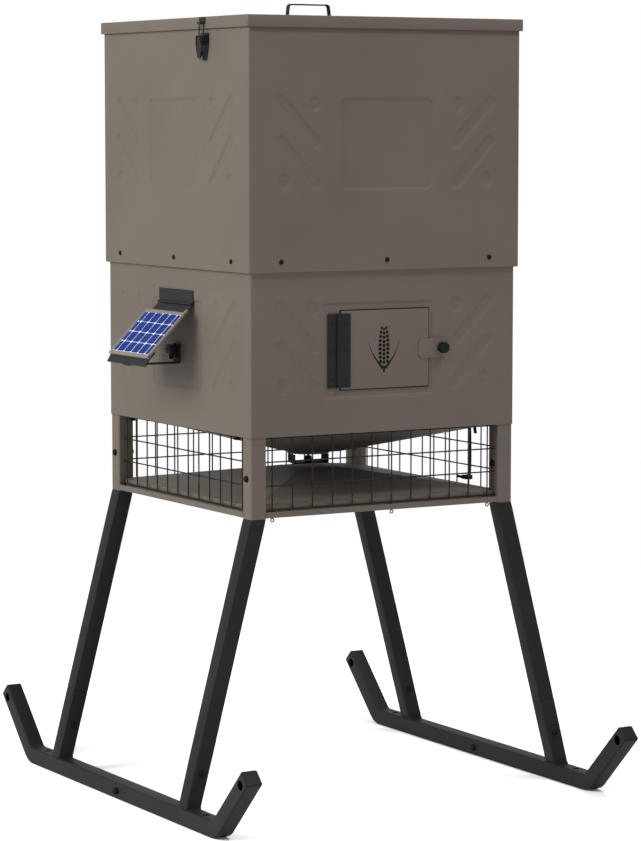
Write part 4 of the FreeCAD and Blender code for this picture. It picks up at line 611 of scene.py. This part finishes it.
def screws():
    """Three screws a side through the lap of the two shells."""
    bm = bmesh.new()
    lap_z = 1218.2
    for sign, aim_x, aim_y in ((-1, "-X", "-Y"), (1, "X", "Y")):
        for column in (-268, 0, 268):
            pan_head(bm, (column, sign * UPPER_HALF, lap_z), aim_y, 5.5, 3.0)
            pan_head(bm, (sign * UPPER_HALF, column, lap_z), aim_x, 5.5, 3.0)
    settle("shell_screw_heads", bm, "hopper", "dark_steel", ["shell_screws"])


# ---------------------------------------------------------------- frame: legs and skids
def square_section(size, radius, bend=4):
    """A rounded square as (across, up) pairs in millimetres, anticlockwise."""
    section = []
    half = size / 2 - radius
    for quarter, (right, above) in enumerate(((1, 1), (-1, 1), (-1, -1), (1, -1))):
        for step in range(bend + 1):
            angle = math.pi / 2 * (quarter + step / bend)
            section.append((right * half + radius * math.cos(angle),
                            above * half + radius * math.sin(angle)))
    return section


def sweep(bm, stations, sections):
    """Join sections placed at stations (origin, across vector, up vector)."""
    rings = []
    for (origin, across, up), section in zip(stations, sections):
        rings.append([bm.verts.new((Vector(origin) + Vector(across) * a + Vector(up) * b) * MM)
                      for a, b in section])
    for a, b in zip(rings, rings[1:]):
        bridge(bm, a, b)
    return rings


def close_ends(bm, rings):
    """A face over the first ring and over the last."""
    bm.faces.new(rings[0])
    bm.faces.new(rings[-1])


def hollow(bm, stations):
    """A square tube, open through its middle, closed by ring faces at both ends."""
    wall, radius = 2.0, 3.5
    outer = square_section(TUBE, radius)
    inner = square_section(TUBE - 2 * wall, radius - wall)
    small = square_section(TUBE - 1.6, radius)
    sections = [small] + [outer] * (len(stations) - 2) + [small]
    outside = sweep(bm, stations, sections)
    inside = sweep(bm, stations, [inner] * len(stations))
    for a, b in ((outside[0], inside[0]), (outside[-1], inside[-1])):
        bridge(bm, a, b)


def cut_holes(piece, drills):
    """Drill round holes through a piece; drills are (place, aim, radius, length)."""
    bm = bmesh.new()
    for place, aim, radius, length in drills:
        lathe(bm, place, aim, [(radius, -length / 2), (radius, length / 2)], 32)
    bmesh.ops.recalc_face_normals(bm, faces=bm.faces)
    tool = mesh_object("drill", bm)
    modifier = piece.modifiers.new("drill", "BOOLEAN")
    modifier.operation = "DIFFERENCE"
    modifier.solver = "EXACT"
    modifier.object = tool
    deps = bpy.context.evaluated_depsgraph_get()
    mesh = bpy.data.meshes.new_from_object(piece.evaluated_get(deps))
    piece.modifiers.clear()
    piece.data = mesh
    bpy.data.objects.remove(tool)
    mesh.shade_smooth()
    mesh.set_sharp_from_angle(angle=math.radians(SMOOTH))


def leg_station(x_sign, y, height, tilt):
    """A cross-section of a leg at a height; tilt turns it from level to square on."""
    slope = SLOPE * tilt
    length = math.sqrt(1 + slope * slope)
    centre = POST + SLOPE * (LEG_TOP - height)
    return (x_sign * centre, y, height), (x_sign / length, 0, slope / length), (0, 1, 0)


def leg(name, node, x_sign, y):
    """A splayed leg with a soft bend just under the post."""
    bend_top, bend_tall = 656.0, 12.0
    stations = []
    for height in (LEG_TOP, 659.3, 650.0, 646.0, 640.0, 600.0, STUB_TOP + 1.2, STUB_TOP):
        tilt = min(1.0, max(0.0, (bend_top - height) / bend_tall))
        stations.append(leg_station(x_sign, y, height, tilt))
    outer = square_section(TUBE, 3.5)
    small = square_section(TUBE - 1.8, 3.5)
    bm = bmesh.new()
    rings = sweep(bm, stations, [small] + [outer] * (len(stations) - 2) + [small])
    close_ends(bm, rings)
    settle(name, bm, "hopper", "charcoal_paint", [node])


def skid_half(name, node, y_sign, spin):
    """Half a skid: the flat run, a rolled bend, the upturned arm and the leg stub."""
    matrix = Matrix.Rotation(spin, 4, "Z")
    joint_y, stake_y = -70.0, 397.0
    flat_end = ARM_Y - SKID_BEND * math.tan(math.pi / 8)
    radius = SKID_BEND - TUBE / 2
    stations = []

    def station(y, z, angle):
        up = (0, -y_sign * math.sin(angle), math.cos(angle))
        stations.append(((SKID_X, y, z), (1, 0, 0), up))

    station(joint_y, TUBE / 2, 0.0)
    station(joint_y + y_sign * 0.9, TUBE / 2, 0.0)
    station(y_sign * flat_end * 0.6, TUBE / 2, 0.0)
    for step in range(11):
        angle = math.pi / 4 * step / 10
        station(y_sign * (flat_end + radius * math.sin(angle)),
                SKID_BEND - radius * math.cos(angle), angle)
    back = 0.4 / math.sqrt(2)
    station(y_sign * (ARM_END_Y - back), ARM_END_Z - back, math.pi / 4)
    station(y_sign * ARM_END_Y, ARM_END_Z, math.pi / 4)
    bm = bmesh.new()
    hollow(bm, stations)
    bmesh.ops.recalc_face_normals(bm, faces=bm.faces)
    piece = mesh_object(name, bm, SMOOTH)
    inset = 21.0 / math.sqrt(2)
    tow_hole = (SKID_X, y_sign * (ARM_END_Y - inset), ARM_END_Z - inset)
    cut_holes(piece, [((SKID_X, y_sign * stake_y, TUBE / 2), "Z", 8.0, 60.0),
                      (tow_hole, "X", 11.0, 60.0)])
    piece.data.transform(matrix)
    piece.data.materials.append(MATERIALS["charcoal_paint"])
    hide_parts(node)
    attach(piece, "hopper")
    stub(name + "_stub", y_sign, matrix)


def stub(name, y_sign, matrix):
    """The slanted socket welded to the skid, with its weld bead."""
    bm = bmesh.new()
    y = y_sign * POST
    levels = ((37.9, 0.0), (39.0, 0.0), (STUB_TOP - 1.2, 1.0), (STUB_TOP, 1.0))
    hollow(bm, [leg_station(1, y, height, tilt) for height, tilt in levels])
    bead = []
    for k in range(48):
        turn = 2 * math.pi * k / 48
        square = min(19.6 / max(abs(math.cos(turn)), abs(math.sin(turn))), 24.5)
        reach = square + 0.35 * math.sin(turn * 22)
        bead.append((SKID_X + reach * math.cos(turn), y + reach * math.sin(turn), 38.6))
    tube(bm, bead, 2.2, 8, closed=True)
    bmesh.ops.transform(bm, matrix=matrix, verts=bm.verts)
    settle(name, bm, "hopper", "charcoal_paint")


def end_caps():
    """A domed plastic plug in each upturned arm."""
    bm = bmesh.new()
    for x_sign in (-1, 1):
        for y_sign in (-1, 1):
            out = Vector((0, y_sign, 1)).normalized()
            up = Vector((0, -y_sign, 1)).normalized()
            stations, sections = [], []
            for along, size in ((-12.0, 33.4), (0.0, 33.4), (0.05, 38.1), (1.6, 38.1), (2.4, 37.2),
                                (2.85, 35.0), (3.0, 30.0)):
                spot = Vector((x_sign * SKID_X, y_sign * ARM_END_Y, ARM_END_Z)) + out * along
                stations.append((spot, (1, 0, 0), up))
                sections.append(square_section(size, min(3.8, size / 8)))
            close_ends(bm, sweep(bm, stations, sections))
    settle("skid_caps", bm, "hopper", "black_plastic", ["skid_end_caps"])


def bolts():
    """Washers, hexagon heads and nuts of the frame's ten bolts."""
    bm = bmesh.new()
    washer = [(7.6, 0.0), (7.6, 1.2), (7.2, 1.5), (0.1, 1.5)]
    face, seat = TUBE / 2, TUBE / 2 + 1.4

    def bolt(place, axis, side):
        head, nut = (axis, "-" + axis) if side > 0 else ("-" + axis, axis)
        spot = Vector(place)
        out = Vector((side, 0, 0)) if axis == "X" else Vector((0, side, 0))
        lathe(bm, spot + out * face, head, washer, 28)
        hexagon(bm, spot + out * seat, head, 11.6, 3.8)
        lathe(bm, spot - out * face, nut, washer, 28)
        hexagon(bm, spot - out * seat, nut, 13.0, 5.6)

    post_bolt_z, leg_bolt_z = 748.0, 115.0
    leg_x = POST + SLOPE * (LEG_TOP - leg_bolt_z)
    for x_sign in (-1, 1):
        for y_sign in (-1, 1):
            bolt((x_sign * POST, y_sign * POST, post_bolt_z), "X", x_sign)
            bolt((x_sign * leg_x, y_sign * POST, leg_bolt_z), "Y", -1)
    bolt((SKID_X, 5.0, TUBE / 2), "X", -1)
    bolt((-SKID_X, -5.0, TUBE / 2), "X", 1)
    settle("bolt_heads", bm, "hopper", "dark_steel", ["frame_bolts"])


def running_gear():
    """Four legs, four skid halves, their caps and their bolts."""
    for y_sign, place in ((-1, "front"), (1, "back")):
        for x_sign, hand in ((-1, "left"), (1, "right")):
            node = "leg_%s_%s" % (place, hand)
            leg(node + "_tube", node, x_sign, y_sign * POST)
    skid_half("skid_tube_front_right", "skid_front_right", -1, 0.0)
    skid_half("skid_tube_back_right", "skid_back_right", 1, 0.0)
    skid_half("skid_tube_back_left", "skid_back_left", -1, math.pi)
    skid_half("skid_tube_front_left", "skid_front_left", 1, math.pi)
    end_caps()
    bolts()


# ---------------------------------------------------------------- solar panel
def solar_panel():
    """Framed cells in the panel's own flat frame, tipped into place."""
    hinge_x, hinge_y, hinge_z, tip = -368.0, 1.5, 1099.0, -45
    seat = (Matrix.Translation((hinge_x * MM, hinge_y * MM, hinge_z * MM))
            @ Matrix.Rotation(math.radians(tip), 4, "Y"))
    long, half, rim = 137.0, 95.0, 9.0
    bm = bmesh.new()
    block(bm, (-long, -half, -6.0), (9.0, -half + 8.0, 2.0), 3.0, seat)
    block(bm, (-long, half - 7.0, -6.0), (0.0, half, 0.8), 1.4, seat)
    block(bm, (-long, -half, -6.0), (-long + rim, half, 0.6), 1.2, seat)
    block(bm, (-rim, -half, -6.0), (0.0, half, 0.6), 1.2, seat)
    block(bm, (-long + 2, -half + 2, -5.8), (-2.0, half - 2, -2.7), 0.4, seat)
    settle("solar_rim", bm, "hopper", "panel_frame", ["solar_frame"])

    low_x, high_x = -long + rim + 0.2, -rim - 0.2
    low_y, high_y = -half + rim + 0.2, half - rim - 0.2
    bm = bmesh.new()
    block(bm, (low_x, low_y, -2.5), (high_x, high_y, -0.42), 0.2, seat)
    settle("cell_backing", bm, "hopper", "solar_glass", ["solar_cells"], material="cell_lines")

    columns = [0.0, 0.10, 0.30, 0.50, 0.70, 0.90, 1.0]
    rows = [0.0, 0.25, 0.5, 0.75, 1.0]
    gap_across, gap_along, cut = 1.0, 0.6, 3.0
    bm = bmesh.new()
    for a, b in zip(columns, columns[1:]):
        y0 = low_y + a * (high_y - low_y) + gap_across
        y1 = low_y + b * (high_y - low_y) - gap_across
        for c, d in zip(rows, rows[1:]):
            x0 = low_x + c * (high_x - low_x) + gap_along
            x1 = low_x + d * (high_x - low_x) - gap_along
            corners = [(x0 + cut, y0), (x1 - cut, y0), (x1, y0 + cut), (x1, y1 - cut),
                       (x1 - cut, y1), (x0 + cut, y1), (x0, y1 - cut), (x0, y0 + cut)]
            lower, upper = ([bm.verts.new(seat @ (Vector((x, y, level)) * MM)) for x, y in corners]
                            for level in (-0.5, -0.25))
            bm.faces.new(upper)
            bm.faces.new(lower[::-1])
            bridge(bm, lower, upper)
    settle("solar_cell_tiles", bm, "hopper", "solar_glass")


def solar_fittings():
    """The cable's socket under the panel, and the hinge's knuckles with the bracket's screw."""
    wall, middle_y = -LOWER_HALF, 1.5
    socket_z, screw_z, knuckle_z = 1001.0, 995.0, 1116.0
    bm = bmesh.new()
    block(bm, (wall - 18.5, -5.0, socket_z), (wall - 2.7, 24.0, socket_z + 20.0), 2.0)
    gland = [(6.0, -1.0), (6.0, 2.0), (5.2, 3.0), (5.2, 8.0), (4.2, 11.0), (3.0, 12.0), (0.1, 12.0)]
    lathe(bm, (wall - 10.5, 9.5, socket_z), "-Z", gland, 24)
    for y in (-1.5, 20.5):
        pan_head(bm, (wall - 18.3, y, socket_z + 10.0), "-X", 2.2, 1.2)
    settle("solar_socket", bm, "hopper", "black_plastic", ["solar_junction_box"])

    bm = bmesh.new()
    hinge_long, knuckles, gap = 162.0, 5, 0.4
    pitch = hinge_long / knuckles
    barrel = [(2.6, 0.0), (3.0, 0.4), (3.0, pitch - 1.2), (2.6, pitch - 0.8)]
    for k in range(knuckles):
        start_y = middle_y - hinge_long / 2 + k * pitch + gap
        lathe(bm, (wall - 4.4, start_y, knuckle_z), "Y", barrel, 20)
    pan_head(bm, (wall - 2.5, middle_y, screw_z), "-X", 3.4, 2.0)
    settle("solar_knuckles", bm, "hopper", "bracket_paint")


# ---------------------------------------------------------------- control door
def door():
    """The door with a black band behind its edges as painted shade in the gap round it, and what is
    fixed to it.
    """
    low, high = (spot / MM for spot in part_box("control_door"))
    bm = bmesh.new()
    block(bm, tuple(low), tuple(high), 0.9)
    settle("door_panel", bm, "door", "tan_paint", ["control_door"])

    # A black band just behind the door, proud of its edges all round: painted shade that darkens
    # the gap round the door.
    bm = bmesh.new()
    lip, proud, near, far = 6.0, 2.2, high.y + 0.1, high.y + 1.1
    left, right, bottom, top = low.x - proud, high.x + proud, low.z - proud, high.z + proud
    block(bm, (left, near, bottom), (right, far, bottom + lip), 0.4)
    block(bm, (left, near, top - lip), (right, far, top), 0.4)
    block(bm, (left, near, bottom + lip), (left + lip, far, top - lip), 0.4)
    block(bm, (right - lip, near, bottom + lip), (right, far, top - lip), 0.4)
    settle("door_gap_shade_band", bm, "door", "black_rubber")

    door_tab()
    knob()
    emblem()
    rivet_heights = (958.0, 1020.5, 1083.0)
    for name, body, x, y in (("wall_leaf_rivets", "hopper", -137.0, -341.3),
                             ("door_leaf_rivets", "door", -101.0, -343.7)):
        bm = bmesh.new()
        for z in rivet_heights:
            pan_head(bm, (x, y, z), "-Y", 3.2, 1.6)
        settle(name, bm, body, "bracket_paint")


def door_tab():
    """The tab that carries the knob: a plate with two large corners and softened edges."""
    low, high = (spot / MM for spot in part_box("door_tab"))
    large, small = 12, 3
    outline = []
    for x, z, radius, start in ((low.x + large, low.z + large, large, 180),
                                (high.x - small, low.z + small, small, 270),
                                (high.x - small, high.z - small, small, 0),
                                (low.x + large, high.z - large, large, 90)):
        for step in range(7):
            turn = math.radians(start + 15 * step)
            outline.append((x + radius * math.cos(turn), z + radius * math.sin(turn)))
    bm = bmesh.new()
    middle_x, middle_z = (low.x + high.x) / 2, (low.z + high.z) / 2
    layers = []
    for y, shrink in ((high.y, 0.0), (low.y + 0.5, 0.0), (low.y + 0.1, 0.25), (low.y, 0.8)):
        pull = 1 - shrink / 25
        layers.append([bm.verts.new(Vector((middle_x + (x - middle_x) * pull, y,
                                            middle_z + (z - middle_z) * pull)) * MM)
                       for x, z in outline])
    for a, b in zip(layers, layers[1:]):
        bridge(bm, a, b)
    close_ends(bm, layers)
    settle("door_tab_plate", bm, "door", "tan_paint", ["door_tab"])


def knob():
    """A knob with eight shallow flutes, on a stem through the tab."""
    spot = (145.4, -344.0, 1019.0)
    profile = [(3.0, -13.0), (3.0, 0.0), (8.0, 0.0), (8.5, 1.0), (11.4, 1.6), (12.4, 3.0),
               (12.5, 8.0), (12.4, 13.0), (11.8, 15.4), (10.4, 16.6), (8.0, 16.9), (6.0, 16.7),
               (5.6, 16.0), (0.1, 16.0)]

    def flutes(turn, height):
        count, depth = 8, 0.075
        if height < 1.5 or height > 15.5:
            return 1.0
        return 1.0 - depth * max(0.0, math.cos(count * turn)) ** 3

    bm = bmesh.new()
    lathe(bm, spot, "-Y", profile, 96, flutes)
    settle("door_knob_grip", bm, "door_knob", "black_plastic", ["door_knob"])


def emblem():
    """A plain corn ear printed on the door: rows of kernels between two husk leaves."""
    bm = bmesh.new()
    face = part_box("control_door")[0].y / MM
    middle_x, middle_z = -4.0, 1021.0

    def patch(points):
        front, back = ([bm.verts.new(Vector((x, face + depth, z)) * MM) for x, z in points]
                       for depth in (-0.12, 0.05))
        bm.faces.new(front)
        bm.faces.new(back[::-1])
        bridge(bm, front, back)

    turns = [2 * math.pi * step / 12 for step in range(12)]
    for row in range(9):
        height = -30 + row * 9.2
        ear = 15.5 * math.sqrt(max(0.0, 1 - (height / 54.0) ** 2))
        for column in (-1, 0, 1):
            x = middle_x + column * ear * 0.66
            z = middle_z + height + (2.5 if column else 0)
            patch([(x + ear * 0.29 * math.cos(turn), z + 3.9 * math.sin(turn)) for turn in turns])
    shares = [step / 12 for step in range(13)]
    for side in (-1, 1):
        leaf = [(5 + 34 * math.sin(share * 1.45), -46 + 62 * share) for share in shares]
        leaf += [(2 + 24 * math.sin(share * 1.75) + share * 12, -40 + 56 * share)
                 for share in shares[::-1]]
        points = [(middle_x + side * x, middle_z + z) for x, z in leaf]
        patch(points if side > 0 else points[::-1])
    stalk = ((-2.2, -52), (2.2, -52), (2.8, -38), (-2.8, -38))
    patch([(middle_x + x, middle_z + z) for x, z in stalk])
    settle("door_emblem", bm, "door", "black_plastic", material="emblem_ink")


def timer_face():
    """The timer's display window with a plain gauge of four rising bars."""
    bars, pitch, wide = 4, 4.2, 2.6
    bm = bmesh.new()
    block(bm, (18.6, -316.38, 1023.6), (69.4, -316.1, 1044.4), 0.08)
    settle("timer_display", bm, "hopper", "grey_plastic", material="lcd")

    bm = bmesh.new()
    for bar in range(bars):
        left, top = 50.0 + pitch * bar, 1031.0 + 2.6 * bar
        block(bm, (left, -316.44, 1027.0), (left + wide, -316.3, top), 0.04)
    settle("timer_gauge", bm, "hopper", "black_plastic", material="emblem_ink")


# ---------------------------------------------------------------- strap, drive, handle, welds
def strip(bm, path, y, width, thicks, rounding):
    """A flat strip folded along (x, z) points, with a thickness at each."""
    stations, sections = [], []
    across = Vector((0, 1, 0))
    for k, ((x, z), thick) in enumerate(zip(path, thicks)):
        before, after = path[max(k - 1, 0)], path[min(k + 1, len(path) - 1)]
        aim = Vector((after[0] - before[0], 0, after[1] - before[1])).normalized()
        stations.append(((x, y, z), across, aim.cross(across)))
        sections.append([(a * width, b * thick) for a, b in square_section(1.0, rounding, 3)])
    close_ends(bm, sweep(bm, stations, sections))


def strap():
    """The rubber tie: an eye, a slightly bowed band, a T head and a curled grip."""
    x, y, pin_z = 344.0, -152.4, 698.0
    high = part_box("rubber_strap")[1] / MM
    top, bend = high.z, 7.0
    path = [(x, pin_z), (x + 1.0, 715.0), (x + 1.7, 740.0), (x + 1.4, 780.0), (x + 0.5, 815.0),
            (x, 838.0), (x, top - 5.0)]
    thicks = [4.9] * len(path)
    for step in range(1, 8):
        turn = math.pi * step / 8
        path.append((x + bend - bend * math.cos(turn),
                     top - 3.0 - bend * 0.6 + bend * 0.6 * math.sin(turn)))
    path += [(x + 14.6, 838.0), (x + 14.8, 825.0), (x + 15.2, 812.0), (x + 16.2, 804.0),
             (high.x - 1.9, 799.0)]
    thicks += [3.7] * (len(path) - len(thicks))
    eye = [(2.7, 0.0), (3.6, 0.0), (4.2, 0.8), (4.2, 9.2), (3.6, 10.0), (2.7, 10.0)]
    bm = bmesh.new()
    strip(bm, path, y, 10.0, thicks, 0.22)
    block(bm, (x - 3.0, y - 12.0, 845.3), (x + 3.0, y + 12.0, top), 2.2)
    lathe(bm, (x, y - 5.0, pin_z), "Y", eye, 28)
    settle("rubber_tie", bm, "rubber_strap", "black_rubber", ["rubber_strap"])


def drive():
    """The spinner's motor can on its flanged gearbox, with two terminals on top."""
    profile = [(3.2, 0.0), (15.5, 0.0), (17.0, 1.2), (17.0, 13.0), (16.2, 14.0), (21.5, 14.0),
               (23.0, 15.2), (23.0, 20.0), (22.4, 20.6), (22.4, 54.0), (23.0, 54.6), (23.0, 59.5),
               (21.5, 61.0), (8.0, 61.0), (7.4, 62.0), (0.1, 62.0)]
    base_z = 795.0
    bm = bmesh.new()
    lathe(bm, (0, 0, base_z), "Z", profile, 48)
    for x in (-9.0, 9.0):
        block(bm, (x - 2.4, -0.5, base_z + 61.5), (x + 2.4, 0.5, base_z + 63.5), 0.2)
    settle("drive_motor_can", bm, "hopper", "dark_steel", ["drive_motor"])


def lid_handle():
    """A folded strap with rounded bends and two screwed feet."""
    low, high = (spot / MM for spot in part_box("lid_handle"))
    base, top, width = low.z, high.z, high.y - low.y
    thick, foot, upright = 3.2, high.x, high.x - 27.0
    mid, foot_bend, top_bend = thick / 2, 5.5, 7.0
    path = [(-foot, base + mid), (-foot + 1, base + mid), (-upright - foot_bend, base + mid)]
    for step in range(1, 6):
        turn = math.pi / 2 * step / 6
        path.append((-upright - foot_bend + foot_bend * math.sin(turn),
                     base + mid + foot_bend * (1 - math.cos(turn))))
    for step in range(8):
        turn = math.pi - math.pi / 2 * step / 7
        path.append((-upright + 3.0 + top_bend + top_bend * math.cos(turn),
                     top - mid - top_bend + top_bend * math.sin(turn)))
    path += [(-x, z) for x, z in path[::-1]]
    bm = bmesh.new()
    strip(bm, path, 0, width, [thick] * len(path), 0.2)
    for sign in (-1, 1):
        pan_head(bm, (sign * (foot - 11.0), 0, base + thick), "Z", 4.6, 2.4)
    settle("lid_handle_strap", bm, "lid", "charcoal_paint", ["lid_handle"])


def welds():
    """Small beads where the rails meet the posts."""
    edge, proud, start_z, pitch = POST - TUBE / 2 - 0.4, 338.2, 662.5, 1.2
    heights = [start_z + pitch * k for k in range(10)]
    bm = bmesh.new()
    for x_sign in (-1, 1):
        for y_sign in (-1, 1):
            for x, y in ((edge, proud), (proud, edge)):
                tube(bm, [(x_sign * x, y_sign * y, z) for z in heights], 1.1, 6)
    settle("rail_welds", bm, "hopper", "tan_paint")


def dress_cad_nodes():
    """Give every CAD node that still shows its own slot's material."""
    slots = {entry["node"]: entry["material_slot"] for entry in frame["record"]["subparts"]}
    for name, node in NODES.items():
        material = MATERIALS[slots[name]]
        if len(node.data.materials) == 0:
            node.data.materials.append(material)
        for index in range(len(node.data.materials)):
            node.data.materials[index] = material


add_camera()
add_stage()
dress_cad_nodes()
hopper()
lid()
screws()
running_gear()
solar_panel()
solar_fittings()
door()
timer_face()
strap()
drive()
lid_handle()
welds()
